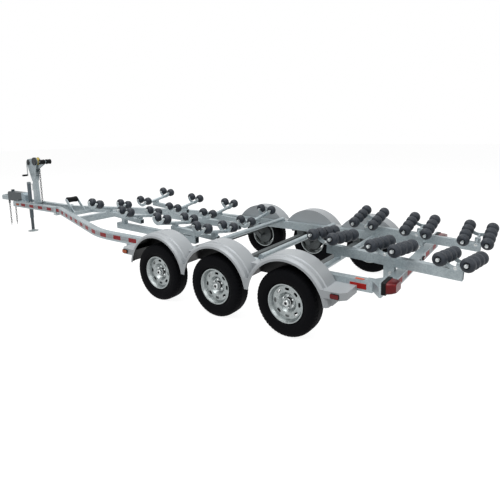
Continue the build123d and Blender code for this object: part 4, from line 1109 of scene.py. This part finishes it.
@dataclass
class FrameHardware:
    """Bolts of the frame, and tape along its outer faces."""

    rail_out: float = 1.000
    tongue_out: float = 0.180
    rail_half: float = 0.045
    bend: float = 2.550
    bend_radius: float = 2.000
    tongue_bend: float = 5.050
    tongue_bend_radius: float = 0.320
    tongue_end: float = 6.540
    tape_from: float = 1.660
    tape_width: float = 0.062
    tape_depth: float = 0.0012
    tape_z: float = 0.612
    rear_face: float = -1.950
    rear_tape: tuple[float, float] = (0.300, 0.900)
    rear_tape_z: float = 0.620
    base_top: float = 0.675
    post_station: float = 6.160
    post_bolts: tuple[float, float] = (0.105, 0.072)  # X, Y from the post's middle
    block_from: float = -1.710
    block_to: float = -1.540
    block_z: float = 0.602
    block_size: tuple[float, float] = (0.004, 0.056)  # depth, height
    top_block: tuple[float, float] = (-1.680, -1.590)  # stations
    top_block_x: float = 0.975
    top_block_size: tuple[float, float] = (0.032, 0.004)  # width, depth
    actuator_stations: tuple[float, ...] = (6.580, 6.800)
    valley: float = 0.4725
    clamp_station: float = 5.160
    clamp_x: float = 0.190
    clamp_z: float = 0.529
    clamp_bolts: float = 0.022  # from the clamp's middle
    bolt_size: float = 0.024
    actuator_bolt_x: float = 0.105
    bridge_bolt: tuple[float, float] = (0.98, 0.005)  # X, and height over the rail
    block_x: float = 0.490
    block_half: float = 0.038
    block_bolt_z: float = 0.575
    cross_station: float = 1.900
    bunk_x: float = 0.565
    bunk_half: float = 0.038
    post_front: float = -1.815
    post_bolt_z: tuple[float, ...] = (0.60, 0.64)
    strip_lift: float = 0.45  # share of the tape's depth by which a strip's middle stands off
    top_lift: float = 0.4  # share of the top block's depth by which its middle stands off

    def outer_line(self) -> Array:
        """Outer edge of one rail in plan: straight, an arc, the diagonal, an arc and the tongue.

        Each bend is the circle that touches both straights: it starts R tan(a / 2) before the corner.
        The outer face adds half the rail's width to the first circle and takes it from the second.

        Returns:
            Points (n, 2) of X and Y on the right side.
        """
        run = np.array((self.tongue_out - self.rail_out, self.tongue_bend - self.bend))
        lean = np.arctan2(-run[0], run[1])
        first = self.bend_radius + self.rail_half
        second = self.tongue_bend_radius - self.rail_half
        # corners of the outer faces, shifted along Y from the middle line's corners
        shift = self.rail_half * np.tan(lean / 2)
        corner1 = np.array((self.rail_out, at(self.bend) + shift))
        corner2 = np.array((self.tongue_out, at(self.tongue_bend) + shift))
        turn = np.linspace(0, lean, 12)
        start = corner1 - (0, first * np.tan(lean / 2))
        arc1 = start + first * np.stack([np.cos(turn) - 1, np.sin(turn)], axis=-1)
        end = corner2 + (0, second * np.tan(lean / 2))
        back = turn[::-1]
        arc2 = end + second * np.stack([1 - np.cos(back), -np.sin(back)], axis=-1)
        head = [(self.rail_out, at(self.tape_from))]
        tail = [(self.tongue_out, at(self.tongue_end))]
        return np.concatenate([head, arc1, arc2, tail])

    def tape(self) -> None:
        """Lay tape on the outer faces of both rails and on the rear cross tube."""
        section = rounded_box(self.tape_depth, self.tape_width, self.tape_depth / 3, 2)
        strips = Skin("reflective_tape")
        line = self.outer_line()
        for side in SIDES:
            path = np.column_stack([side * line[:, 0], line[:, 1], np.full(len(line), self.tape_z)])
            strips.add(*self.strip(path, section, side))
            level = np.linspace(*self.rear_tape, 3)
            path = np.column_stack(
                [side * level, np.full(3, at(self.rear_face)), np.full(3, self.rear_tape_z)]
            )
            strips.add(*self.strip(path, section, side))
        strips.build(Body.FRAME.value, TAPE, Slot.RED)

    def strip(self, path: Array, section: Array, side: float) -> tuple:
        """One tape strip: its section carried along a level path, standing off by nearly half its depth.

        Args:
            path: points (n, 3).
            section: closed section, depth by width.
            side: 1 where the outside is to the path's right, -1 to its left.

        Returns:
            Arguments for Skin.add.
        """
        step = np.gradient(path, axis=0)
        along = step / np.linalg.norm(step, axis=1, keepdims=True)
        out = side * np.cross(along, UP)
        lifted = path + out * self.tape_depth * self.strip_lift
        grid, lengths = ribbon(lifted, out, np.broadcast_to(UP, out.shape), section, self.tape_width)
        return grid, False, True, lengths

    def blocks(self) -> None:
        """Block reflectors at the rails' rear ends: red on each outer face and orange on top."""
        red, orange = Skin("red_block_reflectors"), Skin("orange_block_reflectors")
        depth, height = self.block_size
        wide, thick = self.top_block_size
        for side in SIDES:
            y = at(np.linspace(self.block_from, self.block_to, 3))
            path = np.column_stack([np.full(3, side * self.rail_out), y, np.full(3, self.block_z)])
            red.add(*self.strip(path, rounded_box(depth, height, depth / 3, 2), side))
            y = at(np.linspace(*self.top_block, 3))
            top = np.full(3, RAIL_TOP + self.top_lift * thick)
            path = np.column_stack([np.full(3, side * self.top_block_x), y, top])
            orange.add(*self.strip(path, rounded_box(wide, thick, thick / 3, 2), side))
        red.build(Body.FRAME.value, RED_BLOCK, Slot.RED)
        orange.build(Body.FRAME.value, ORANGE_BLOCK, Slot.AMBER)

    def bolts(self) -> None:
        """Bolt heads on the plates and brackets that hold the frame together."""
        heads = Fasteners("frame_bolts", size=self.bolt_size)
        wide, long = self.post_bolts
        bridge_x, bridge_up = self.bridge_bolt
        for side in SIDES:
            heads.put([(side * wide, at(self.post_station + y * long), self.base_top) for y in SIDES], UP)
            actuator_x = side * self.actuator_bolt_x
            heads.put([(actuator_x, at(y), self.base_top) for y in self.actuator_stations], UP)
            heads.put([(side * bridge_x, at(y * self.valley), RAIL_TOP + bridge_up) for y in SIDES], UP)
            stations = [at(self.clamp_station + y * self.clamp_bolts) for y in SIDES]
            heads.put([(side * self.clamp_x, y, self.clamp_z) for y in stations], (side, 0.0, 0.0))
            for face in SIDES:
                x = side * self.block_x + face * self.block_half
                heads.put((x, at(self.cross_station), self.block_bolt_z), (face, 0.0, 0.0))
                x = side * self.bunk_x + face * self.bunk_half
                heads.put([(x, at(self.post_front), z) for z in self.post_bolt_z], (face, 0.0, 0.0))
        heads.build()

    def build(self) -> None:
        """Lay the tape, then set the block reflectors and the bolts."""
        self.tape()
        self.blocks()
        self.bolts()


@dataclass
class LampBezels:
    """Black housings round the tail lamps and bezels round the side lamps and the rear lenses."""

    lamp_width: float = 0.200
    housing_depth: float = 0.042
    housing_wall: float = 0.006
    lens_narrow: float = 0.26  # share of its width and height that the lens loses to the rear
    lens_power: float = 2.4
    lens_lift: float = 0.012
    side_lens: tuple[float, float, float] = (0.020, 0.084, 0.040)
    bar_lens: tuple[float, float, float] = (0.062, 0.018, 0.034)
    bar_pitch: float = 0.165
    bezel: float = 0.009
    bezel_round: float = 0.002
    bezel_depth: float = 0.8  # share of the lens's depth
    bezel_middle: float = 0.6  # its middle from the lens's face, as a share of the lens's depth
    housing_gap: float = 0.0005
    corner: float = 0.008

    def tail_lens(self, depth: float, height: float) -> Array:
        """Lens along -Y: a rounded rectangle scaled by 1 - n t^p at the share t of its depth, and lifted.

        Args:
            depth: length along Y.
            height: largest size along Z.

        Returns:
            Grid of points (rows, columns, 3), its front face's middle at the origin.
        """
        share = np.linspace(0, 1, 15)
        scale = 1 - self.lens_narrow * share**self.lens_power
        section = rounded_box(self.lamp_width, height, 3 * self.corner, 5)
        path = np.column_stack([np.zeros(15), -share * depth, self.lens_lift * share**self.lens_power])
        x = scale[:, None] * section[None, :, 0]
        z = path[:, 2:] + scale[:, None] * section[None, :, 1]
        y = np.broadcast_to(path[:, 1:2], x.shape)
        return capped(np.stack([x, y, z], axis=-1))

    def tail(self) -> None:
        """Replace the tail lamps by a lens in a black housing on each plate."""
        low, high = node_box("tail_lamps")
        lens = self.tail_lens(high[1] - low[1], high[2] - low[2])
        lenses = Skin("tail_lamp_lenses")
        for side in SIDES:
            lenses.add(lens + (side * (high[0] - self.lamp_width / 2), high[1], (low[2] + high[2]) / 2))
        lenses.build(Body.FRAME.value, RED_LENS, Slot.RED, ("tail_lamps",))
        section = rounded_box(self.housing_depth, 2 * self.housing_wall, self.bezel_round, 2)
        band = framed(self.lamp_width, high[2] - low[2], self.corner, Axis.Y, section)
        housings = Skin("tail_lamp_housings")
        for side in SIDES:
            x = side * (high[0] - self.lamp_width / 2)
            spot = (x, high[1] - self.housing_depth / 2 - self.housing_gap, (low[2] + high[2]) / 2)
            housings.add(band + spot, round_rows=True)
        housings.build(Body.FRAME.value, BLACK_RUBBER, Slot.ROLLER)

    def lenses(self) -> None:
        """A bezel round each lens on the fenders' steps and on the rear cross tube."""
        bezels = Skin("lens_bezels")
        depth, long, tall = self.side_lens
        section = rounded_box(self.bezel_depth * depth, self.bezel, self.bezel_round, 2)
        side_frame = framed(long, tall, self.corner, Axis.X, section)
        for node, end in (("amber_side_lamps", 0), ("red_lenses", 1)):
            low, high = node_box(node)
            y = (low[1] + long / 2, high[1] - long / 2)[end]
            for side in SIDES:
                spot = (side * (high[0] - self.bezel_middle * depth), y, low[2] + tall / 2)
                bezels.add(side_frame + spot, round_rows=True)
        wide, depth, tall = self.bar_lens
        section = rounded_box(self.bezel_depth * depth, self.bezel, self.bezel_round, 2)
        bar_frame = framed(wide, tall, self.corner, Axis.Y, section)
        low, high = node_box("red_lenses")
        for k in (-1, 0, 1):
            spot = (k * self.bar_pitch, low[1] + self.bezel_middle * depth, high[2] - tall / 2)
            bezels.add(bar_frame + spot, round_rows=True)
        bezels.build(Body.FRAME.value, BLACK_RUBBER, Slot.ROLLER)

    def build(self) -> None:
        """Make the housings and the bezels."""
        self.tail()
        self.lenses()


@dataclass
class Chains:
    """Safety chains and the bow chain, with round links, and a hook at each lower end."""

    inner_length: float = 0.044
    inner_width: float = 0.018
    wire: float = 0.010
    seat: float = 0.0003
    hook_radius: float = 0.020
    hook_turn: float = 230.0
    hook_tip: float = 0.6  # share of the wire left at the hook's tip
    # X, station, top and number of links below the first
    runs: tuple = ((-0.060, 7.270, 0.580, 10), (0.060, 7.270, 0.580, 10), (0.0, 5.955, 1.42888, 16))

    def link(self) -> Array:
        """One link in the YZ plane: a round wire carried round two half circles and two straights."""
        radius = (self.inner_width + self.wire) / 2
        straight = (self.inner_length + self.wire) / 2 - radius
        angle = np.concatenate([np.linspace(0, np.pi, 9), np.linspace(np.pi, TURN, 9)])
        rise = np.repeat((straight, -straight), 9)
        path = np.stack([np.zeros(18), radius * np.cos(angle), radius * np.sin(angle) + rise], axis=-1)
        out = np.stack([np.zeros(18), np.cos(angle), np.sin(angle)], axis=-1)
        side = np.broadcast_to((1.0, 0.0, 0.0), out.shape)
        return swept(path, side, out, circle(self.wire / 2, 8))

    def hook(self) -> Array:
        """Hook below a link: a round wire on an arc, slimmer towards its tip."""
        angle = np.radians(np.linspace(90, 90 - self.hook_turn, 20))
        drop = -(self.inner_length + self.wire) / 2 - self.hook_radius
        out = np.stack([np.zeros(20), np.cos(angle), np.sin(angle)], axis=-1)
        path = self.hook_radius * out + (0, 0, drop)
        side = np.broadcast_to((1.0, 0.0, 0.0), out.shape)
        slim = np.linspace(1.0, self.hook_tip, 20)[:, None, None]
        grid = swept(path, side, out, circle(self.wire / 2, 8))
        return capped(path[:, None, :] + (grid - path[:, None, :]) * slim)

    def build(self) -> None:
        """Replace the chains by round links, each a quarter turn from the last, with their hooks."""
        chains = Skin("chain_links")
        quarter = np.array([np.eye(3), [[0, -1, 0], [1, 0, 0], [0, 0, 1]]], float)
        for x, station, top, count in self.runs:
            k = np.arange(count + 1)
            drop = top + self.seat - self.inner_length / 2 - k * (self.inner_length - self.seat)
            spots = np.column_stack([np.full(count + 1, x), np.full(count + 1, at(station)), drop])
            chains.add(placed(self.link(), quarter[k % 2], spots), round_rows=True)
            chains.add(placed(self.hook(), quarter[k[-1:] % 2], spots[-1:]))
        chains.build(Body.FRAME.value, CHAIN_STEEL, Slot.ZINC, ("chains",), crease=60.0)


@dataclass
class WinchStand:
    """Winch strap and gear, bow rollers, keel roller and crank grips."""

    strap_width: float = 0.052
    strap_from: float = 0.0625
    strap_turns: int = 7
    strap_step: float = 0.0025
    strap_thick: float = 0.0020
    strap_round: float = 0.00075
    teeth: int = 32
    tooth: float = 0.005
    tooth_flat: float = 1.6  # height of the sine wave before it is clipped
    gear_radius: float = 0.0785  # to the teeth's feet
    gear_rim: float = 0.0125
    gear_slope: float = 0.004
    gear_x: tuple[float, float] = (-0.046, -0.0690)  # back and face
    web_x: float = -0.0672
    boss_x: float = -0.0715
    boss_radius: float = 0.0245
    crank_top: float = 0.012  # crank's axis below the top of its box
    # X and radius of the crank's bearing, a ring that leaves its shaft free
    bearing: tuple = (
        (-0.045, 0.0128),
        (-0.045, 0.058),
        (-0.053, 0.058),
        (-0.056, 0.054),
        (-0.056, 0.034),
        (-0.066, 0.030),
        (-0.068, 0.026),
        (-0.068, 0.0128),
    )
    bow_width: float = 0.096
    # shares of a bow roller's radius: waist, rounding of the flange's edge and hollow in its end
    bow_waist: float = 0.16
    bow_shoulder: float = 0.25
    bow_hollow: float = 0.55
    bow_power: int = 16
    bow_recess: float = 0.006
    shaft: float = 0.0125
    # node, body, direction along X and length of each grip
    handles: tuple = (("winch_crank", Body.CRANK, -1, 0.107), ("jack_crank", Body.FRAME, 1, 0.094))
    grip_bar: float = 0.017  # radius of the bar in a grip
    grip_over: float = 0.002  # past the bar's end
    grip_swell: float = 0.0025
    grip_wave: float = 0.6  # share of the swell in each ridge
    grip_dome: int = 24
    grip_ridges: int = 5

    def strap(self) -> None:
        """Strap on the drum: a flat section carried round a spiral whose radius grows with its angle."""
        low, high = node_box("winch_drum")
        middle = (low + high) / 2
        steps = 40 * self.strap_turns
        angle = np.linspace(0, TURN * self.strap_turns, steps)
        radius = self.strap_from + self.strap_step * angle / TURN
        out = np.stack([np.zeros(steps), np.cos(angle), np.sin(angle)], axis=-1)
        path = middle + radius[:, None] * out
        side = np.broadcast_to((1.0, 0.0, 0.0), out.shape)
        section = rounded_box(self.strap_width, self.strap_thick, self.strap_round, 2)
        grid, lengths = ribbon(path, side, out, section, self.strap_width)
        Skin("winch_strap").add(grid, lengths=lengths).build(Body.FRAME.value, STRAP, Slot.ROLLER)

    def gear(self) -> None:
        """Gear beside the head: a clipped sine of the angle cuts its teeth, and its face is dished."""
        _, y, z = node_middle("winch_drum")
        angle = np.linspace(0, TURN, 6 * self.teeth, endpoint=False)
        crest = np.clip(self.tooth_flat * np.sin(self.teeth * angle), -1, 1)
        outer = self.gear_radius + self.tooth * (crest + 1) / 2
        web, boss = self.gear_radius - self.gear_rim, self.boss_radius
        slope = self.gear_slope
        back, face = self.gear_x
        x = np.array([back, back, face, face, self.web_x, self.web_x, self.boss_x, self.boss_x])
        r = np.outer([0.0, 0.0, 0.0, web, web - slope, boss + slope, boss, 0.0], np.ones_like(outer))
        r[1:3] = outer
        along = np.outer(x, np.ones_like(outer))
        grid = np.stack([along, r * np.cos(angle), r * np.sin(angle)], axis=-1)
        gear = Skin("winch_gear").add(grid + (0, y, z))
        low, high = node_box("winch_crank")
        spot = (0.0, (low[1] + high[1]) / 2, high[2] - self.crank_top)
        gear.add(turned(np.array(self.bearing), 32) + spot, round_rows=True)
        gear.build(Body.FRAME.value, CHAIN_STEEL, Slot.ZINC, crease=25.0)

    def bow_roller(self, width: float, radius: float) -> Array:
        """Bow or keel roller about the X axis: a waist that rises to a rounded flange at each end.

        The radius is R - d (1 - |2x/w|^2), rounded off by a high power of |2x/w| at the ends.

        Args:
            width: length along X.
            radius: largest radius.

        Returns:
            Grid of points (rows, sides, 3).
        """
        u = np.linspace(-1, 1, 31)
        share = 1 - self.bow_waist * (1 - u**2) - self.bow_shoulder * np.abs(u) ** self.bow_power
        body = np.stack([u * width / 2, radius * share], axis=-1)
        inset = width / 2 - self.bow_recess
        ends = np.array([(inset, self.bow_hollow * radius), (inset, self.shaft)])
        return turned(np.concatenate([ends[::-1] * (-1, 1), body, ends]), 36)

    def rollers(self) -> None:
        """Replace the two bow rollers and the keel roller."""
        low, high = node_box("bow_rollers")
        middle = (low + high) / 2
        radius = (high[2] - low[2]) / 2
        width = self.bow_width
        spots = np.array([(s * (high[0] - width / 2), middle[1], middle[2]) for s in SIDES])
        rollers = placed(self.bow_roller(width, radius), np.repeat(np.eye(3)[None], 2, axis=0), spots)
        skin = Skin("bow_stop_rollers").add(rollers)
        skin.build(Body.FRAME.value, BLACK_RUBBER, Slot.ROLLER, ("bow_rollers",), crease=50.0)
        low, high = node_box("keel_roller")
        keel = self.bow_roller(high[0] - low[0], (high[2] - low[2]) / 2) + (low + high) / 2
        skin = Skin("keel_guide_roller").add(keel)
        skin.build(Body.FRAME.value, BLACK_RUBBER, Slot.ROLLER, ("keel_roller",), crease=50.0)

    def grip(self, start: Array, length: float, radius: float) -> Array:
        """Hand grip about X: a sleeve whose radius swells in soft ridges, with domed ends.

        Args:
            start: middle of its first end.
            length: its length, negative towards -X.
            radius: radius of the bar that it covers.

        Returns:
            Grid of points (rows, sides, 3).
        """
        u = np.linspace(0, 1, 41)
        dome = 1 - np.abs(2 * u - 1) ** self.grip_dome
        swell = self.grip_swell * (1 + self.grip_wave * np.sin(np.pi * self.grip_ridges * u) ** 2)
        body = np.stack([u * length, (radius + swell) * np.sqrt(np.clip(dome, 0, 1))], axis=-1)
        return turned(body, 20) + start

    def grips(self) -> None:
        """Black grips on the ends of the winch crank's handle, towards -X, and of the jack's, towards X."""
        for node, body, end, length in self.handles:
            low, high = node_box(node)
            x = (low[0], high[0])[end > 0] - end * (length - self.grip_over)
            start = np.array((x, (low[1] + high[1]) / 2, low[2] + self.grip_bar))
            skin = Skin(f"{node}_grip").add(self.grip(start, end * length, self.grip_bar))
            skin.build(body.value, BLACK_RUBBER, Slot.ROLLER)

    def build(self) -> None:
        """Make every piece of the stand."""
        self.strap()
        self.gear()
        self.rollers()
        self.grips()


@dataclass
class CadFinishes:
    """Finishes of the CAD nodes that stay in view."""

    table: tuple = (
        (GALVANISED, ("rail_left", "rail_right", "front_cross_tube", "middle_cross_tube", "cross_pipes")),
        (GALVANISED, ("rear_cross_tube", "carrier_beams", "walking_tubes", "rear_bunks", "bunk_posts")),
        (GALVANISED, ("front_roller_arms", "cradle_frames", "cradle_lugs", "pivot_blocks")),
        (GALVANISED, ("bow_guide_arms", "tongue_clamps", "coupler")),
        (GALVANISED, ("winch_post", "winch_head", "winch_drum")),
        (ZINC_PLATE, ("winch_crank", "jack_crank")),
        (DULL_ZINC, ("axle_1", "axle_2", "axle_3")),
        (JACK_ENAMEL, ("jack_tube",)),
        (LEG_ENAMEL, ("jack_leg",)),
        (ACTUATOR_PAINT, ("brake_actuator",)),
        (FENDER_SILVER, ("fender_left", "fender_right")),
        (RED_LENS, ("red_lenses",)),
        (AMBER_LENS, ("amber_side_lamps",)),
    )
    wheel_table: tuple = ((GALVANISED_RIM, "rim"), (CAST_IRON, "drum"))

    def build(self) -> None:
        """Put each finish on its nodes."""
        pairs = [(finish, node) for finish, nodes in self.table for node in nodes]
        pairs += [(finish, f"{part}_{tag}") for finish, part in self.wheel_table for tag in WHEEL_TAGS]
        for finish, node in pairs:
            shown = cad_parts[node]
            if not shown.material_slots:
                shown.data.materials.append(None)
            for place in shown.material_slots:
                place.material = finish.material()
            LOG.info("%s: %s", node, finish.name)


# Stage


@dataclass
class Studio:
    """Pale floor, white surround and soft lamps."""

    floor_half: float = 60.0
    floor_drop: float = 0.0006  # below the tyres
    floor_colours: tuple[str, str] = ("#f4f4f4", "#fafafa")
    floor_bounce: str = "#8f8f8f"  # colour of the floor to the light that shades
    floor_share: float = 0.70  # share of the floor's own glow in what the camera sees of it
    floor_glow: float = 1.30
    world_fill: float = 0.22
    lamps: tuple = (  # name, place, aim, size, watts
        ("key_softbox", (-7.0, -2.0, 9.0), (0.0, 0.0, 0.6), 6.0, 500.0),
        ("rear_softbox", (-3.0, -9.0, 6.0), (0.0, -2.0, 0.6), 5.0, 200.0),
        ("top_softbox", (1.0, 1.0, 11.0), (0.0, 0.0, 0.0), 8.0, 700.0),
    )

    def seen(self, tree: bpy.types.NodeTree) -> bpy.types.NodeSocket:
        """1 for rays from the camera, off gloss or through glass, and 0 for the light that shades."""
        ray = add_node(tree, "LightPath").outputs
        first = joined(tree, "MAXIMUM", ray["Is Camera Ray"], ray["Is Glossy Ray"])
        return joined(tree, "MAXIMUM", first, ray["Is Transmission Ray"])

    def world(self) -> None:
        """White to the camera and in reflections, a softer even fill for shading."""
        world = bpy.data.worlds.new("white_studio")
        world.use_nodes = True
        tree = world.node_tree
        strength = ranged(tree, self.seen(tree), self.world_fill, 1.0)
        back = tree.nodes["Background"]
        back.inputs["Color"].default_value = (1.0, 1.0, 1.0, 1.0)
        tree.links.new(strength, back.inputs["Strength"])
        bpy.context.scene.world = world

    def floor(self) -> None:
        """Level floor: a grid of x and y at the ground's height, whose material keeps the shadow."""
        line = np.linspace(-self.floor_half, self.floor_half, 9)
        x, y = np.meshgrid(line, line, indexing="ij")
        points = np.stack([x, y, np.full_like(x, -self.floor_drop)], axis=-1).reshape(-1, 3)
        quads, _ = grid_quads(9, 9, False, False)
        mesh = bpy.data.meshes.new("studio_floor")
        mesh.from_pydata(points.tolist(), [], quads.tolist())
        paint = bpy.data.materials.new("pale_floor_paint")
        paint.use_nodes = True
        tree = paint.node_tree
        shader = tree.nodes["Principled BSDF"]
        place = add_node(tree, "TexCoord").outputs["Object"]
        noise = add_node(tree, "TexNoise", {"Vector": place, "Scale": 0.8, "Detail": 3.0}).outputs["Fac"]
        colour = blended(tree, noise, *map(srgb, self.floor_colours))
        colour = blended(tree, self.seen(tree), srgb(self.floor_bounce), colour)
        feed(tree, shader, base_color=colour, roughness=0.9, specular_ior_level=0.1)
        glow = add_node(tree, "Emission", {"Color": (1.0, 1.0, 1.0, 1.0), "Strength": self.floor_glow})
        share = ranged(tree, self.seen(tree), 0.0, self.floor_share)
        both = add_node(tree, "MixShader", {0: share, 1: shader.outputs[0], 2: glow.outputs[0]})
        tree.links.new(both.outputs[0], tree.nodes["Material Output"].inputs["Surface"])
        mesh.materials.append(paint)
        floor = bpy.data.objects.new("studio_floor", mesh)
        bpy.context.scene.collection.objects.link(floor)

    def light(self) -> None:
        """Square area lamps aimed at the trailer."""
        for name, place, aim, size, watts in self.lamps:
            lamp = bpy.data.lights.new(name, "AREA")
            lamp.size = size
            lamp.energy = watts
            shown = bpy.data.objects.new(name, lamp)
            back = np.array(place) - np.array(aim)
            turn = aimed(back)
            # the lamp shines along its own -Z, so its Z axis points back from the aim
            axes = np.stack([turn[:, 1], turn[:, 2], turn[:, 0]], axis=1)
            shown.matrix_world = Matrix.LocRotScale(place, Matrix(axes.tolist()), None)
            bpy.context.scene.collection.objects.link(shown)

    def build(self) -> None:
        """Set the stage and the view transform."""
        self.world()
        self.floor()
        self.light()
        bpy.context.scene.view_settings.view_transform = "Standard"


@dataclass
class PhotoCamera:
    """Camera at the photograph's place, found from the wheels' and rails' places in it."""

    image: float = 500.0
    sensor: float = 36.0
    place: tuple[float, float, float] = (-4.7119, -3.1209, 2.0932)  # X, station, Z
    yaw: float = 33.21
    pitch: float = -8.146
    roll: float = -0.906
    focal: float = 420.68  # pixels
    centre: tuple[float, float] = (276.23, 192.33)  # pixels

    def build(self) -> None:
        """Aim along the yaw and pitch, turn by the roll and shift the frame off the lens's axis."""
        yaw, pitch, roll = np.radians((self.yaw, self.pitch, self.roll))
        ahead = np.array((np.cos(pitch) * np.cos(yaw), np.cos(pitch) * np.sin(yaw), np.sin(pitch)))
        level = np.array((np.sin(yaw), -np.cos(yaw), 0.0))
        over = np.cross(level, ahead)
        right = level * np.cos(roll) + over * np.sin(roll)
        up = over * np.cos(roll) - level * np.sin(roll)
        lens = bpy.data.cameras.new("photo_camera")
        lens.sensor_width = self.sensor
        lens.lens = self.focal / self.image * self.sensor
        lens.shift_x = (self.image / 2 - self.centre[0]) / self.image
        lens.shift_y = (self.centre[1] - self.image / 2) / self.image
        lens.clip_end = 200.0
        camera = bpy.data.objects.new("photo_camera", lens)
        x, station, z = self.place
        turn = Matrix(np.stack([right, up, -ahead], axis=1).tolist())
        camera.matrix_world = Matrix.LocRotScale((x, at(station), z), turn, None)
        bpy.context.scene.collection.objects.link(camera)
        bpy.context.scene.camera = camera


def main() -> None:
    """Build the stage, dress the CAD nodes and add every piece in order."""
    logging.basicConfig(level=logging.INFO, format="%(name)s %(message)s")
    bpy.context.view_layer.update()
    PhotoCamera().build()
    Studio().build()
    CadFinishes().build()
    parts = (Wheels(), FrontCradle(), RearCradle(), FrameHardware(), LampBezels(), Chains(), WinchStand())
    for part in parts:
        LOG.info("building %s", type(part).__name__)
        part.build()


if __name__ == "__main__":
    main()
